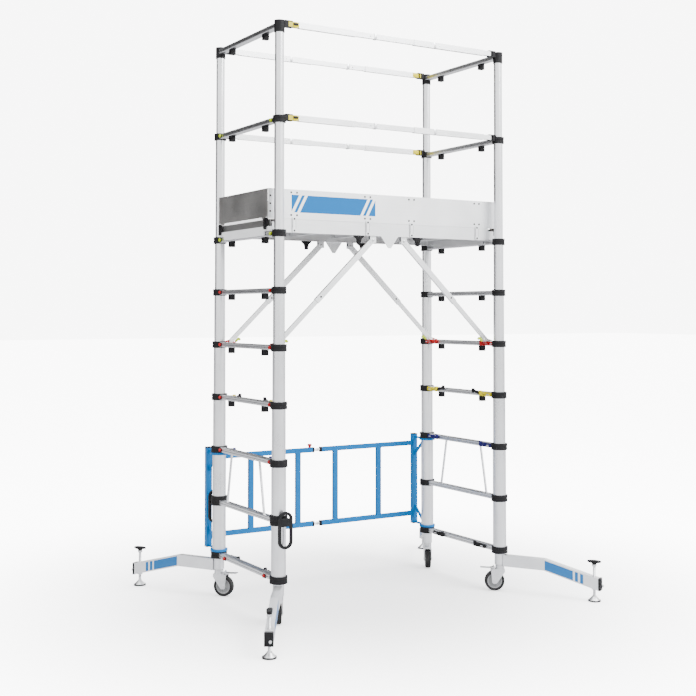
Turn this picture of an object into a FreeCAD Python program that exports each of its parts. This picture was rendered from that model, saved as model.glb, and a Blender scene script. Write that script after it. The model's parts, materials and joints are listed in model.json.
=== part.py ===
import FreeCAD, Part

import os
import re

import Sketcher

# A mobile work tower: two telescopic end frames tied by a folding base brace, a platform with
# toe boards, two levels of guard rail, four castors and four levelling outriggers.
# Millimetres. X runs along the tower, Y across it, Z up. The origin is on the floor at the centre.

SIZES = {
    # end frames
    "tower_length": 1410,  # between stile axes, along X
    "tower_width": 710,  # between stile axes, along Y
    "rung_pitch": 290,
    "eighth_rung_rise": 580,  # above the seventh
    "ninth_rung_rise": 480,  # above the eighth
    "base_tube_diameter": 75,
    "tube_wall": 1.8,
    "slide_gap": 0.6,  # all round, between one tube and the next
    "tube_overlap": 100,  # length of a tube that stays inside the one below
    "collar_wall": 8,
    "collar_height": 36,
    "lip_height": 4,
    "collar_groove": 1.5,
    "rung_width": 38,
    "rung_height": 26,
    "rung_wall": 2,
    "rung_corner": 4,
    "tread_groove_width": 4,
    "tread_groove_depth": 1.2,
    "tread_groove_pitch": 9,
    "stop_width": 30,
    "stop_length": 26,
    "stop_height": 31,
    "stop_window": 13,
    "stop_spacing": 400,
    "cap_wall": 4,
    "cap_depth": 36,
    "cap_rise": 25,
    "strut_diameter": 10,
    "strut_offset": 12,
    "strut_top_spacing": 334,
    "strut_bottom_spacing": 440,
    # castor legs and castors
    "leg_diameter": 48,
    "leg_wall": 3,
    "leg_floor": 10,
    "leg_insert": 60,
    "kingpin_diameter": 18,
    "kingpin_rise": 28,  # above the foot of the leg
    "wheel_diameter": 112,
    "wheel_width": 32,
    "wheel_gap": 4,  # below the crown of the fork
    "tyre_shoulder": 6,
    "hub_diameter": 84,
    "hub_width": 26,
    "axle_diameter": 10,
    "axle_gap": 0.3,
    "castor_trail": 30,
    "fork_gap": 3,
    "fork_plate": 3,
    "crown_plate": 6,
    "race_diameter": 50,
    "race_height": 23.5,
    "race_gap": 1.5,
    "axle_head": 4,
    "pedal_length": 80,
    "pedal_width": 30,
    "pedal_rise": 8,  # above the crown of the fork
    "pedal_barrel": 11,
    "pedal_pin": 5,
    "pedal_ear": 4,
    # outriggers
    "sleeve_diameter": 58,
    "sleeve_gap": 0.5,
    "sleeve_height": 59,
    "sleeve_end_gap": 5,  # below the first collar
    "sleeve_rise": 1,  # above the foot of the leg
    "arm_width": 40,
    "arm_depth": 63,
    "arm_wall": 3,
    "arm_sink": 7,  # below the foot of the leg
    "arm_bend_reach": 262,
    "arm_reach": 566,
    "arm_drop": 78,
    "arm_cap": 12,
    "plug_screw": 12,
    "arm_angle": 58,  # from the tower's length
    "jack_reach": 540,
    "jack_diameter": 16,
    "jack_gap": 0.6,
    "jack_rise": 2,  # of the knob above the arm's level part
    "jack_boss_wall": 7,
    "knob_span": 75,
    "knob_width": 32,
    "knob_height": 17,
    "foot_diameter": 68,
    "foot_pad": 8,
    "foot_height": 26,
    # folding base brace
    "brace_offset": 145,  # brace plane behind the back stiles
    "brace_post": 32,
    "brace_post_rise": 20,  # above the first rung
    "brace_post_drop": 5,  # below the third rung
    "brace_rail": 28,
    "brace_depth": 20,
    "brace_rail_rise": 79,  # above the first rung
    "brace_rail_drop": 62,  # below the third rung
    "brace_upright": 30,
    "brace_inner_upright": 128,
    "brace_outer_upright": 438,
    "brace_split": 27,
    "knuckle_diameter": 12,
    "brace_ring_height": 12,
    "brace_ring_wall": 10,
    "bracket_plate": 8,
    # carrying handles
    "handle_offset": 64,
    "handle_width": 77,
    "handle_height": 185,
    "handle_strap": 13,
    "handle_depth": 14,
    "handle_drop": 129,  # below the second rung
    # guard rails
    "rail_rise": 12,  # rail centre above its rung's centre
    "rail_height": 31,
    "rail_depth": 20,
    "rail_wall": 1.5,
    "rail_gap": 0.5,
    "rail_clip_height": 26,
    "rail_clip_length": 50,
    "rail_long_joint": 250,
    "rail_short_joint": 120,
    "rail_lap": 60,
    "lug_reach": 60,
    "lug_plate": 4,
    "lug_gap": 0.6,
    "lug_width": 24,
    "lug_pin": 10,
    "pin_gap": 0.4,
    # platform
    "platform_gap": 55,  # from the stile axes
    "beam_end_gap": 33,  # from the stile axes
    "beam_rise": 10,  # above the seventh rung
    "beam_height": 70,
    "beam_wall": 3,
    "beam_flange": 25,
    "deck_rise": 53,  # above the beams' lower edge
    "deck_thickness": 12,
    "deck_overhang": 18,  # beyond the stile axes
    "fascia_gap": 0.5,
    "hatch_centre": 300,
    "hatch_length": 560,
    "hatch_width": 430,
    "hatch_gap": 3,
    "hatch_ledge": 5,
    "hatch_barrel": 10,
    "hatch_pin": 4,
    "hatch_knuckle_length": 30,
    "cross_beam": 30,
    "hook_gap": 1.5,
    "hook_side_gap": 4,
    "hook_lip": 8,
    "hook_depth": 21,
    "hook_beam": 24,
    "hook_inset": 60,
    "toe_height": 153,
    "toe_thickness": 4,
    "toe_gap": 4,
    "toe_overhang": 33,  # beyond the stile axes
    "toe_barrel": 12,
    "toe_pin": 6,
    "toe_block": 26,
    "strap_width": 22,
    "strap_inner": 142,
    "strap_outer": 590,
    "gusset_width": 110,
    "gusset_tip": 18,
    "gusset_depth": 64,
    "ear_bolt": 8,
    # diagonal braces
    "diagonal_pivot_reach": 100,
    "diagonal_pivot_drop": 22,  # below the beams
    "diagonal_inset": 20,  # from the beams' outer faces
    "diagonal_depth": 30,
    "diagonal_width": 15,
    "diagonal_wall": 2,
    "diagonal_gap": 0.5,
    "diagonal_outer_length": 480,
    "diagonal_inner_start": 180,
    "claw_gap": 1.5,
    "claw_plate": 5,
    "claw_width": 26,
}

doc = FreeCAD.newDocument("work_tower")
sheet = doc.addObject("Spreadsheet::Sheet", "Sizes")
for row, (alias, size) in enumerate(SIZES.items(), start=1):
    sheet.set(f"A{row}", alias)
    sheet.set(f"B{row}", str(size))
    sheet.setAlias(f"B{row}", alias)
doc.recompute()

LEFT, RIGHT = -1, 1
FRONT, BACK = -1, 1
END_NAMES = {LEFT: "left", RIGHT: "right"}
SIDE_NAMES = {FRONT: "front", BACK: "back"}
CORNERS = [(end, side) for side in (FRONT, BACK) for end in (LEFT, RIGHT)]
NODES = []


# ---- formulas ------------------------------------------------------------------------------

def formula(text):
    """The text with each size name pointed at its cell in the spreadsheet."""
    return re.sub(r"[a-z_]+", lambda word: ("Sizes." if word[0] in SIZES else "") + word[0], str(text))


def value(text):
    """The number that a formula gives now."""
    return float(sheet.evalExpression(formula(text)))


def bind(thing, **formulas):
    """Tie an object's sizes to the spreadsheet."""
    for size_name, text in formulas.items():
        thing.setExpression(size_name, formula(text))


def place(thing, x, y, z):
    """Tie an object's position to the spreadsheet."""
    for axis, text in zip("xyz", (x, y, z)):
        thing.setExpression("Placement.Base." + axis, formula(text))


# ---- solids --------------------------------------------------------------------------------

def block(size_x, size_y, size_z, x, y, low):
    """A box centred on x and y that stands on the height low."""
    box = doc.addObject("Part::Box", "Block")
    bind(box, Length=size_x, Width=size_y, Height=size_z)
    place(box, f"({x}) - ({size_x}) / 2", f"({y}) - ({size_y}) / 2", low)
    return box


def post(diameter, low, high, x=0, y=0):
    """An upright cylinder between two heights."""
    cylinder = doc.addObject("Part::Cylinder", "Post")
    bind(cylinder, Radius=f"({diameter}) / 2", Height=f"({high}) - ({low})")
    place(cylinder, x, y, low)
    return cylinder


def bar(axis, diameter, length, x, y, z):
    """A level cylinder along X or Y, centred on a point."""
    cylinder = doc.addObject("Part::Cylinder", "Bar")
    bind(cylinder, Radius=f"({diameter}) / 2", Height=length)
    along_x = axis == "X"
    turn_axis = FreeCAD.Vector(0, 1, 0) if along_x else FreeCAD.Vector(1, 0, 0)
    cylinder.Placement.Rotation = FreeCAD.Rotation(turn_axis, 90 if along_x else -90)
    back = f" - ({length}) / 2"
    place(cylinder, f"({x})" + (back if along_x else ""), f"({y})" + ("" if along_x else back), z)
    return cylinder


def plate(plane, outline, thickness, offset=0):
    """A flat plate with straight sides, centred on the offset from the plane it is drawn in."""
    rotations = {
        "XY": FreeCAD.Rotation(),
        "XZ": FreeCAD.Rotation(FreeCAD.Vector(1, 0, 0), 90),
        "YZ": FreeCAD.Rotation(FreeCAD.Vector(1, 1, 1), 120),
    }
    normals = {"XY": "z", "XZ": "y", "YZ": "x"}
    sketch = doc.addObject("Sketcher::SketchObject", "Outline")
    corners = [FreeCAD.Vector(value(across), value(up), 0) for across, up in outline]
    for index, corner in enumerate(corners):
        sketch.addGeometry(Part.LineSegment(corner, corners[(index + 1) % len(corners)]))
    for index in range(len(corners)):
        sketch.addConstraint(Sketcher.Constraint("Coincident", index, 2, (index + 1) % len(corners), 1))
    for index, point in enumerate(outline):
        for kind, text in zip(("DistanceX", "DistanceY"), point):
            number = sketch.addConstraint(Sketcher.Constraint(kind, index, 1, value(text)))
            sketch.setExpression(f"Constraints[{number}]", formula(text))
    sketch.Placement.Rotation = rotations[plane]
    sketch.setExpression("Placement.Base." + normals[plane], formula(offset))
    solid = doc.addObject("Part::Extrusion", "Plate")
    solid.Base = sketch
    solid.DirMode = "Normal"
    solid.Solid = True
    solid.Symmetric = True
    bind(solid, LengthFwd=thickness)
    return solid


def group(pieces):
    """Separate solids kept together."""
    compound = doc.addObject("Part::Compound", "Group")
    compound.Links = pieces
    return compound


def join(*pieces):
    """Solids that meet, made one."""
    fused = doc.addObject("Part::MultiFuse", "Joined")
    fused.Shapes = list(pieces)
    return fused


def cut(solid, *tools):
    """A solid with other solids taken out of it, one after the other."""
    for tool in tools:
        difference = doc.addObject("Part::Cut", "Cut")
        difference.Base = solid
        difference.Tool = tool
        solid = difference
    return solid


def soften(solid, radius, wanted):
    """Round the edges that wanted(edge) picks out."""
    doc.recompute()
    size = value(radius)
    picked = [number for number, edge in enumerate(solid.Shape.Edges, start=1) if wanted(edge)]
    fillet = doc.addObject("Part::Fillet", "Rounded")
    fillet.Base = solid
    fillet.Edges = [(number, size, size) for number in picked]
    return fillet


def runs_along(axis):
    """A test for straight edges along X, Y or Z."""
    direction = {"X": FreeCAD.Vector(1, 0, 0), "Y": FreeCAD.Vector(0, 1, 0), "Z": FreeCAD.Vector(0, 0, 1)}[axis]

    def test(edge):
        if edge.Curve.TypeId != "Part::GeomLine":
            return False
        return abs(abs(edge.Curve.Direction.dot(direction)) - 1) < 1e-6

    return test


def tube(outer, inner, low, high, x=0, y=0):
    """An upright tube."""
    return cut(post(outer, low, high, x, y), post(inner, f"({low}) - 1", f"({high}) + 1", x, y))


def turned(pieces, axis, angle, x=0, y=0, z=0):
    """Pieces built about the origin, turned about an axis through it and moved to a place."""
    compound = group(pieces)
    compound.Placement.Rotation = FreeCAD.Rotation(FreeCAD.Vector(*axis), value(angle))
    compound.setExpression("Placement.Rotation.Angle", formula(angle))
    place(compound, x, y, z)
    return compound


def node(label, pieces):
    """Name a finished sub-part, of one solid or of several."""
    part = pieces[0] if len(pieces) == 1 else group(pieces)
    part.Label = label
    NODES.append(part)


# ---- end frames ----------------------------------------------------------------------------

CROWN = "(wheel_diameter + wheel_gap)"
LEG_FOOT = f"({CROWN} + crown_plate + race_height + race_gap)"


def stile_x(end):
    return f"({end} * tower_length / 2)"


def stile_y(side):
    return f"({side} * tower_width / 2)"


def rung_z(number):
    """The height of a rung's centre."""
    if number == 8:
        return f"({rung_z(7)} + eighth_rung_rise)"
    if number == 9:
        return f"({rung_z(8)} + ninth_rung_rise)"
    return f"({LEG_FOOT} + sleeve_rise + sleeve_height + sleeve_end_gap + collar_height / 2 + {number - 1} * rung_pitch)"


def tube_outer(number):
    """The outer diameter of the tube whose top carries this rung: three rungs share the base tube."""
    return f"(base_tube_diameter - {max(number - 3, 0)} * 2 * (tube_wall + slide_gap))"


def collar_outer(number):
    """The outer diameter of the collar, or of the cap on the last tube."""
    wall = "cap_wall" if number == 9 else "collar_wall"
    return f"({tube_outer(number)} + 2 * {wall})"


def stiles(number):
    """The four tubes of one telescopic section."""
    if number == 3:
        low = f"{rung_z(1)} - collar_height / 2 + lip_height"
    else:
        low = f"{rung_z(number - 1)} - tube_overlap"
    high = f"{rung_z(number)} + collar_height / 2 - lip_height"
    outer = tube_outer(number)
    return [tube(outer, f"{outer} - 2 * tube_wall", low, high, stile_x(end), stile_y(side))
            for end, side in CORNERS]


def rungs(number):
    """Both end frames' rungs at one height: hollow, with a grooved tread, coped to the collars."""
    height = rung_z(number)
    made = []
    for end in (LEFT, RIGHT):
        outside = block("rung_width", "tower_width", "rung_height", stile_x(end), 0, f"{height} - rung_height / 2")
        rung = soften(outside, "rung_corner", runs_along("Y"))
        inside = block("rung_width - 2 * rung_wall", "tower_width", "rung_height - 2 * rung_wall",
                       stile_x(end), 0, f"{height} - rung_height / 2 + rung_wall")
        grooves = [block("tread_groove_width", "tower_width", "tread_groove_depth * 2",
                         f"{stile_x(end)} + ({step}) * tread_groove_pitch", 0,
                         f"{height} + rung_height / 2 - tread_groove_depth") for step in (-1, 0, 1)]
        ends = [post(collar_outer(number), f"{height} - rung_height", f"{height} + rung_height",
                     stile_x(end), stile_y(side)) for side in (FRONT, BACK)]
        made.append(cut(rung, inside, group(grooves), group(ends)))
    return made


def collar(number, end, side):
    """The black ring that holds a rung to its tube and guides the next tube."""
    x, y = stile_x(end), stile_y(side)
    low = f"{rung_z(number)} - collar_height / 2"
    high = f"{rung_z(number)} + collar_height / 2"
    outer = collar_outer(number)
    ring = post(outer, low, high, x, y)
    waist = tube(f"{outer} + 2", f"{outer} - 2 * collar_groove", f"{rung_z(number)} - collar_height / 12",
                 f"{rung_z(number)} + collar_height / 12", x, y)
    if number == 1:
        seat = post(tube_outer(number), f"{low} + lip_height", f"{high} + 1", x, y)
        throat = post("leg_diameter", f"{low} - 1", high, x, y)
    elif number == 2:
        seat = post(tube_outer(number), f"{low} - 1", f"{high} + 1", x, y)
        throat = seat
    else:
        seat = post(tube_outer(number), f"{low} - 1", f"{high} - lip_height", x, y)
        throat = post(f"{tube_outer(number + 1)} + 2 * slide_gap", low, f"{high} + 1", x, y)
    if number == 2:
        return cut(ring, waist, seat)
    return cut(ring, waist, seat, throat)


def stops(number):
    """The blocks under a rung that keep the rungs apart when the frame is run down."""
    made = []
    low = f"({rung_z(number)} - rung_height / 2 - stop_height)"
    for end, side in CORNERS:
        place_y = f"{side} * stop_spacing / 2"
        body = block("stop_width", "stop_length", "stop_height", stile_x(end), place_y, low)
        window = block("stop_width + 2", "stop_window", "stop_window", stile_x(end), place_y,
                       f"{low} + (stop_height - stop_window) / 2")
        made.append(cut(body, window))
    return made


def rail_z(number):
    return f"({rung_z(number)} + rail_rise)"


def pin_x(end):
    """The upright pin that a guard rail hinges on, or clips to."""
    return f"({end} * (tower_length / 2 - lug_reach))"


def lug(number, end, side):
    """Two level plates and an upright pin, on the collar's inner face, that take a guard rail's end."""
    y = stile_y(side)
    root = f"({collar_outer(number)} / 2 - cap_wall / 2)"
    low = f"{rail_z(number)} - rail_clip_height / 2 - lug_gap - lug_plate"
    height = "rail_clip_height + 2 * (lug_gap + lug_plate)"
    tip = "(lug_reach + lug_width / 2)"
    web_end = "(lug_reach - lug_width / 2 - 1)"
    plates = [block(f"{tip} - {root}", "lug_width", "lug_plate",
                    f"{end} * (tower_length / 2 - ({tip} + {root}) / 2)", y, level)
              for level in (low, f"{low} + {height} - lug_plate")]
    web = block(f"{web_end} - {root}", "lug_width", height,
                f"{end} * (tower_length / 2 - ({web_end} + {root}) / 2)", y, low)
    pin = post("lug_pin", low, f"{low} + {height}", pin_x(end), y)
    return [*plates, web, pin]


def cap(end, side):
    """The closed cap on the top tube, which also holds the ninth rung."""
    x, y = stile_x(end), stile_y(side)
    low = f"{rung_z(9)} - cap_depth"
    shell = join(post(collar_outer(9), low, f"{rung_z(9)} + cap_rise", x, y), *lug(9, end, side))
    return cut(shell, post(tube_outer(9), f"{low} - 1", f"{rung_z(9)} + collar_height / 2 - lip_height", x, y))


def base_stiles():
    node("base_stiles", stiles(3))


def base_rungs():
    node("base_rungs", rungs(1) + rungs(2) + rungs(3))


def base_collars():
    node("base_collars", [collar(number, end, side) for number in (1, 2, 3) for end, side in CORNERS])


def section(name, numbers):
    """One telescopic section of both end frames: tubes, rungs, and collars with their stops."""
    node(f"stiles_{name}", [tube_piece for number in numbers for tube_piece in stiles(number)])
    node(f"rungs_{name}", [rung for number in numbers for rung in rungs(number)])
    fittings = []
    for number in numbers:
        for end, side in CORNERS:
            if number == 9:
                fittings.append(cap(end, side))
            elif number == 8:
                fittings.append(join(collar(number, end, side), *lug(number, end, side)))
            else:
                fittings.append(collar(number, end, side))
        fittings += stops(number)
    node(f"caps_{name}" if 9 in numbers else f"collars_{name}", fittings)


def frame_struts():
    """Two thin splayed struts in each end frame, from the third rung down to the second."""
    low = f"{rung_z(2)} + rung_height / 2"
    high = f"{rung_z(3)} - rung_height / 2"
    struts = []
    for end, side in CORNERS:
        foot_y = f"{side} * strut_bottom_spacing / 2"
        head_y = f"{side} * strut_top_spacing / 2"
        half = "strut_diameter / 2"
        struts.append(plate("YZ", [(f"{foot_y} - {half}", low), (f"{foot_y} + {half}", low),
                                   (f"{head_y} + {half}", high), (f"{head_y} - {half}", high)],
                            "strut_diameter", f"{stile_x(end)} + {end} * strut_offset"))
    node("frame_struts", struts)


def caster_legs():
    """The spigots below the frames: each turns an outrigger round it and carries a castor."""
    legs = []
    for end, side in CORNERS:
        x, y = stile_x(end), stile_y(side)
        top = f"{rung_z(1)} - collar_height / 2 + lip_height"
        outside = join(post("leg_diameter", LEG_FOOT, top, x, y),
                       post("base_tube_diameter - 2 * tube_wall", top, f"{top} + leg_insert", x, y))
        bore = post("leg_diameter - 2 * leg_wall", f"{LEG_FOOT} + leg_floor", f"{top} + leg_insert + 1", x, y)
        pin_hole = post("kingpin_diameter + 2 * sleeve_gap", f"{LEG_FOOT} - 1", f"{LEG_FOOT} + kingpin_rise", x, y)
        legs.append(cut(outside, bore, pin_hole))
    node("caster_legs", legs)


def carry_handles():
    """A long flat loop on a lug at each second collar of the left frame."""
    pieces = []
    handle_low = f"({rung_z(2)} - handle_drop)"
    for side in (FRONT, BACK):
        x, y = stile_x(LEFT), f"{side} * (tower_width / 2 + handle_offset)"
        middle = f"{x} + handle_strap / 3"
        outer = soften(block("handle_width", "handle_depth", "handle_height", middle, y, handle_low),
                       "handle_width / 2 - 1", runs_along("Y"))
        inner = soften(block("handle_width - 2 * handle_strap", "handle_depth * 2",
                             "handle_height - 2 * handle_strap", middle, y, f"{handle_low} + handle_strap"),
                       "handle_width / 2 - handle_strap - 1", runs_along("Y"))
        pieces.append(cut(outer, inner))
        inside = f"({collar_outer(2)} / 2)"
        reach = f"(handle_offset + handle_depth / 2 - {inside} + collar_wall / 2)"
        saddle = block("handle_width - 2 * handle_strap - 1", reach, "handle_width / 2",
                       middle, f"{side} * (tower_width / 2 + {inside} - collar_wall / 2 + {reach} / 2)",
                       f"{rung_z(2)} - collar_height / 2")
        pieces.append(cut(saddle, post(collar_outer(2), f"{rung_z(2)} - collar_height",
                                       f"{rung_z(2)} + collar_height", x, stile_y(side))))
    node("carry_handles", pieces)


# ---- folding base brace --------------------------------------------------------------------

BRACE_Y = "(tower_width / 2 + brace_offset)"
BRACE_LOW_RAIL = f"({rung_z(1)} + brace_rail_rise)"
BRACE_HIGH_RAIL = f"({rung_z(3)} - brace_rail_drop)"


def base_brace_panels():
    """Two ladder-like panels behind the tower, hinged to each other in the middle."""
    pieces = []
    for end in (LEFT, RIGHT):
        inner = "brace_split"
        outer = "(tower_length / 2 - brace_post / 2)"
        rails = [block(f"{outer} - {inner}", "brace_depth", "brace_rail", f"{end} * ({outer} + {inner}) / 2",
                       BRACE_Y, f"{level} - brace_rail / 2") for level in (BRACE_LOW_RAIL, BRACE_HIGH_RAIL)]
        uprights = [block("brace_upright", "brace_depth", f"{BRACE_HIGH_RAIL} - {BRACE_LOW_RAIL}",
                          f"{end} * {reach}", BRACE_Y, BRACE_LOW_RAIL)
                    for reach in ("brace_inner_upright", "brace_outer_upright")]
        pieces.append(join(*rails, *uprights))
    for level in (BRACE_LOW_RAIL, BRACE_HIGH_RAIL):
        pieces.append(bar("X", "knuckle_diameter", "2 * brace_split", 0, BRACE_Y, level))
    node("base_brace_panels", pieces)


def base_brace_posts():
    """The brace's end posts, each held to a back stile by two rings and gusset bars."""
    pieces = []
    gap = "(base_tube_diameter / 2 + slide_gap)"
    for end in (LEFT, RIGHT):
        x = stile_x(end)
        low, high = f"({rung_z(1)} + brace_post_rise)", f"({rung_z(3)} - brace_post_drop)"
        upright = block("brace_post", "brace_post", f"{high} - {low}", x, BRACE_Y, low)
        face_y = "(tower_width / 2 + brace_offset - brace_post / 2 + 1)"
        ring_y = f"(tower_width / 2 + {gap} + brace_ring_wall / 2)"
        brackets = []
        for level, fall, ring_low in ((f"{rung_z(1)} + collar_height / 2", 1, f"{rung_z(1)} + collar_height / 2"),
                                      (f"{rung_z(3)} - collar_height / 2", -1,
                                       f"{rung_z(3)} - collar_height / 2 - brace_ring_height")):
            brackets.append(tube(f"2 * ({gap} + brace_ring_wall)", f"2 * {gap}", ring_low,
                                 f"{ring_low} + brace_ring_height", x, stile_y(BACK)))
            near, far = f"{level}", f"{level} + {fall} * brace_ring_height"
            brackets.append(plate("YZ", [(ring_y, near), (face_y, near), (face_y, far), (ring_y, far)],
                                  "bracket_plate", x))
            brackets.append(plate("YZ", [(ring_y, far), (ring_y, f"{far} + {fall} * 2 * brace_ring_height"),
                                         (face_y, f"{far} + {fall} * 9 * brace_ring_height"),
                                         (face_y, f"{far} + {fall} * 7 * brace_ring_height")],
                                  "bracket_plate", x))
        pieces.append(join(upright, *brackets))
    node("base_brace_posts", pieces)


# ---- guard rails ---------------------------------------------------------------------------

def guard_rail(number, side, level_name):
    """A rail of three telescoping tubes with an eye on one pin and an open clip on the other."""
    hinge_end = RIGHT if side == FRONT else LEFT
    clip_end = -hinge_end
    y, z = stile_y(side), rail_z(number)
    clip_low = f"{z} - rail_clip_height / 2"
    clip_x, eye_x = pin_x(clip_end), pin_x(hinge_end)
    bore = "lug_pin + 2 * pin_gap"

    clip_body = block("rail_clip_length + lug_width / 2", "rail_depth", "rail_clip_height",
                      f"{clip_x} + {hinge_end} * (rail_clip_length / 2 - lug_width / 4)", y, clip_low)
    clip_hole = post(bore, f"{clip_low} - 1", f"{z} + rail_clip_height", clip_x, y)
    clip_mouth = block(bore, "rail_depth", "rail_clip_height * 2", clip_x, f"{y} - {side} * rail_depth / 2",
                       f"{z} - rail_clip_height")
    pieces = [cut(clip_body, clip_hole, clip_mouth)]

    eye_body = join(block("rail_clip_length", "rail_depth", "rail_clip_height",
                          f"{eye_x} + {clip_end} * rail_clip_length / 2", y, clip_low),
                    post("rail_depth", clip_low, f"{z} + rail_clip_height / 2", eye_x, y))
    pieces.append(cut(eye_body, post(bore, f"{clip_low} - 1", f"{z} + rail_clip_height", eye_x, y)))

    def rail_tube(start, finish, trim):
        length, middle = f"({finish} - ({start}))", f"({finish} + ({start})) / 2"
        outside = block(length, f"rail_depth - 2 * ({trim})", f"rail_height - 2 * ({trim})", middle, y,
                        f"{z} - rail_height / 2 + ({trim})")
        inside = block(f"{length} + 2", f"rail_depth - 2 * ({trim} + rail_wall)",
                       f"rail_height - 2 * ({trim} + rail_wall)", middle, y,
                       f"{z} - rail_height / 2 + ({trim} + rail_wall)")
        return cut(outside, inside)

    reach = "(tower_length / 2 - lug_reach - rail_clip_length)"
    long_joint, short_joint = "rail_long_joint", "rail_short_joint"
    if clip_end == LEFT:
        spans = [(f"-{reach}", f"-{long_joint}"), (short_joint, reach)]
        middle_span = (f"-{long_joint} - rail_lap", f"{short_joint} + rail_lap")
    else:
        spans = [(long_joint, reach), (f"-{reach}", f"-{short_joint}")]
        middle_span = (f"-{short_joint} - rail_lap", f"{long_joint} + rail_lap")
    pieces += [rail_tube(start, finish, "0") for start, finish in spans]
    pieces.append(rail_tube(*middle_span, "rail_wall + rail_gap"))
    node(f"guard_rail_{SIDE_NAMES[side]}_{level_name}", pieces)


# ---- platform ------------------------------------------------------------------------------

BEAM_LOW = f"({rung_z(7)} + beam_rise)"
BEAM_HIGH = f"({BEAM_LOW} + beam_height)"
DECK_LOW = f"({BEAM_LOW} + deck_rise)"
DECK_TOP = f"({DECK_LOW} + deck_thickness)"
PLATFORM_WIDTH = "(tower_width - 2 * platform_gap)"
BEAM_LENGTH = "(tower_length - 2 * beam_end_gap)"
DECK_END = "(tower_length / 2 + deck_overhang)"
TOE_HINGE_X = "(tower_length / 2 + toe_overhang)"
DIAGONAL_PIVOT = f"({BEAM_LOW} - diagonal_pivot_drop)"
DIAGONAL_Y = f"({PLATFORM_WIDTH} / 2 - diagonal_inset)"
RUNG_SEVEN_TOP = f"({rung_z(7)} + rung_height / 2)"
HOOK_INNER = "(tower_length / 2 - rung_width / 2 - hook_side_gap - hook_lip)"
HOOK_OUTER = "(tower_length / 2 + rung_width / 2 + hook_side_gap + hook_lip)"
HOOK_TOP = f"({RUNG_SEVEN_TOP} + hook_gap + hook_beam)"


def deck_frame():
    """Side beams of open section, end beams with hook lips over the seventh rungs, cross beams under
    the deck, a gusset in the middle of each side, and the ears that the diagonal braces hang from."""
    pieces = []
    for side in (FRONT, BACK):
        face = f"{side} * ({PLATFORM_WIDTH} / 2 - beam_wall / 2)"
        flange_y = f"{side} * ({PLATFORM_WIDTH} / 2 - beam_flange / 2)"
        gusset = plate("XZ", [("-gusset_width / 2", f"{BEAM_LOW} + beam_wall"), ("-gusset_width / 2", BEAM_LOW),
                              ("-gusset_tip / 2", f"{BEAM_LOW} - gusset_depth"),
                              ("gusset_tip / 2", f"{BEAM_LOW} - gusset_depth"), ("gusset_width / 2", BEAM_LOW),
                              ("gusset_width / 2", f"{BEAM_LOW} + beam_wall")], "beam_wall", face)
        ears = []
        for end in (LEFT, RIGHT):
            x, middle = f"{end} * diagonal_pivot_reach", f"{side} * {DIAGONAL_Y}"
            ears += [block("diagonal_depth + 2 * beam_wall", "beam_wall",
                           "diagonal_pivot_drop + diagonal_depth / 2 + beam_wall", x,
                           f"{middle} + ({way}) * (diagonal_width / 2 + diagonal_gap + beam_wall / 2)",
                           f"{DIAGONAL_PIVOT} - diagonal_depth / 2") for way in (-1, 1)]
            ears.append(bar("Y", "ear_bolt", "diagonal_width + 4 * beam_wall", x, middle, DIAGONAL_PIVOT))
        pieces.append(join(
            block(BEAM_LENGTH, "beam_wall", "beam_height", 0, face, BEAM_LOW),
            block(BEAM_LENGTH, "beam_flange", "beam_wall", 0, flange_y, BEAM_LOW),
            block(BEAM_LENGTH, "beam_flange", "beam_wall", 0, flange_y, f"{DECK_LOW} - beam_wall"),
            gusset, *ears))
    for end in (LEFT, RIGHT):
        width = f"({HOOK_OUTER} - {HOOK_INNER})"
        middle = f"{end} * ({HOOK_OUTER} + {HOOK_INNER}) / 2"
        span = f"{PLATFORM_WIDTH} - 2 * beam_wall - 2"
        saddle = block(width, span, "hook_beam", middle, 0, f"{RUNG_SEVEN_TOP} + hook_gap")
        riser = block(f"{width} * 2 / 3", span, f"{DECK_LOW} - {HOOK_TOP}", f"{end} * ({HOOK_INNER} + {width} / 3)",
                      0, HOOK_TOP)
        lips = [block("hook_lip", f"{PLATFORM_WIDTH} - 2 * hook_inset", "hook_depth + 1",
                      f"{end} * ({edge} + ({way}) * hook_lip / 2)", 0, f"{RUNG_SEVEN_TOP} + hook_gap - hook_depth")
                for edge, way in ((HOOK_INNER, 1), (HOOK_OUTER, -1))]
        fascia = block("beam_wall", span, f"{DECK_TOP} - {HOOK_TOP}",
                       f"{end} * ({DECK_END} + fascia_gap + beam_wall / 2)", 0, HOOK_TOP)
        pieces.append(join(saddle, riser, fascia, *lips))
    for x in ("hatch_centre - hatch_length / 2 - cross_beam / 2 + hatch_ledge",
              "hatch_centre + hatch_length / 2 + cross_beam / 2 - hatch_ledge",
              "-hatch_length / 2"):
        pieces.append(block("cross_beam", f"{PLATFORM_WIDTH} - 2 * beam_flange", "cross_beam", x, 0,
                            f"{DECK_LOW} - cross_beam"))
    node("deck_frame", pieces)


HATCH_HINGE_Y = "(hatch_width / 2 - 1)"
HATCH_HINGE_Z = f"({DECK_TOP} + hatch_barrel / 2)"


def hatch_knuckle(x, length, side, bore):
    """A hinge leaf with its barrel, on the deck (side 1) or on the hatch (side -1)."""
    leaf = block(length, "hatch_barrel * 2.4", "hatch_barrel / 4", x,
                 f"{HATCH_HINGE_Y} + ({side}) * hatch_barrel * 1.2", DECK_TOP)
    return cut(join(leaf, bar("X", "hatch_barrel", length, x, HATCH_HINGE_Y, HATCH_HINGE_Z)),
               bar("X", bore, f"{length} + 2", x, HATCH_HINGE_Y, HATCH_HINGE_Z))


def deck_panel():
    """The walking surface, with the opening that the hatch closes."""
    board = block(f"2 * {DECK_END}", f"{PLATFORM_WIDTH} - 2 * beam_wall - 2", "deck_thickness", 0, 0, DECK_LOW)
    opening = block("hatch_length", "hatch_width", "deck_thickness * 3", "hatch_centre", 0,
                    f"{DECK_LOW} - deck_thickness")
    node("deck_panel", [cut(board, opening)])


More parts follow.
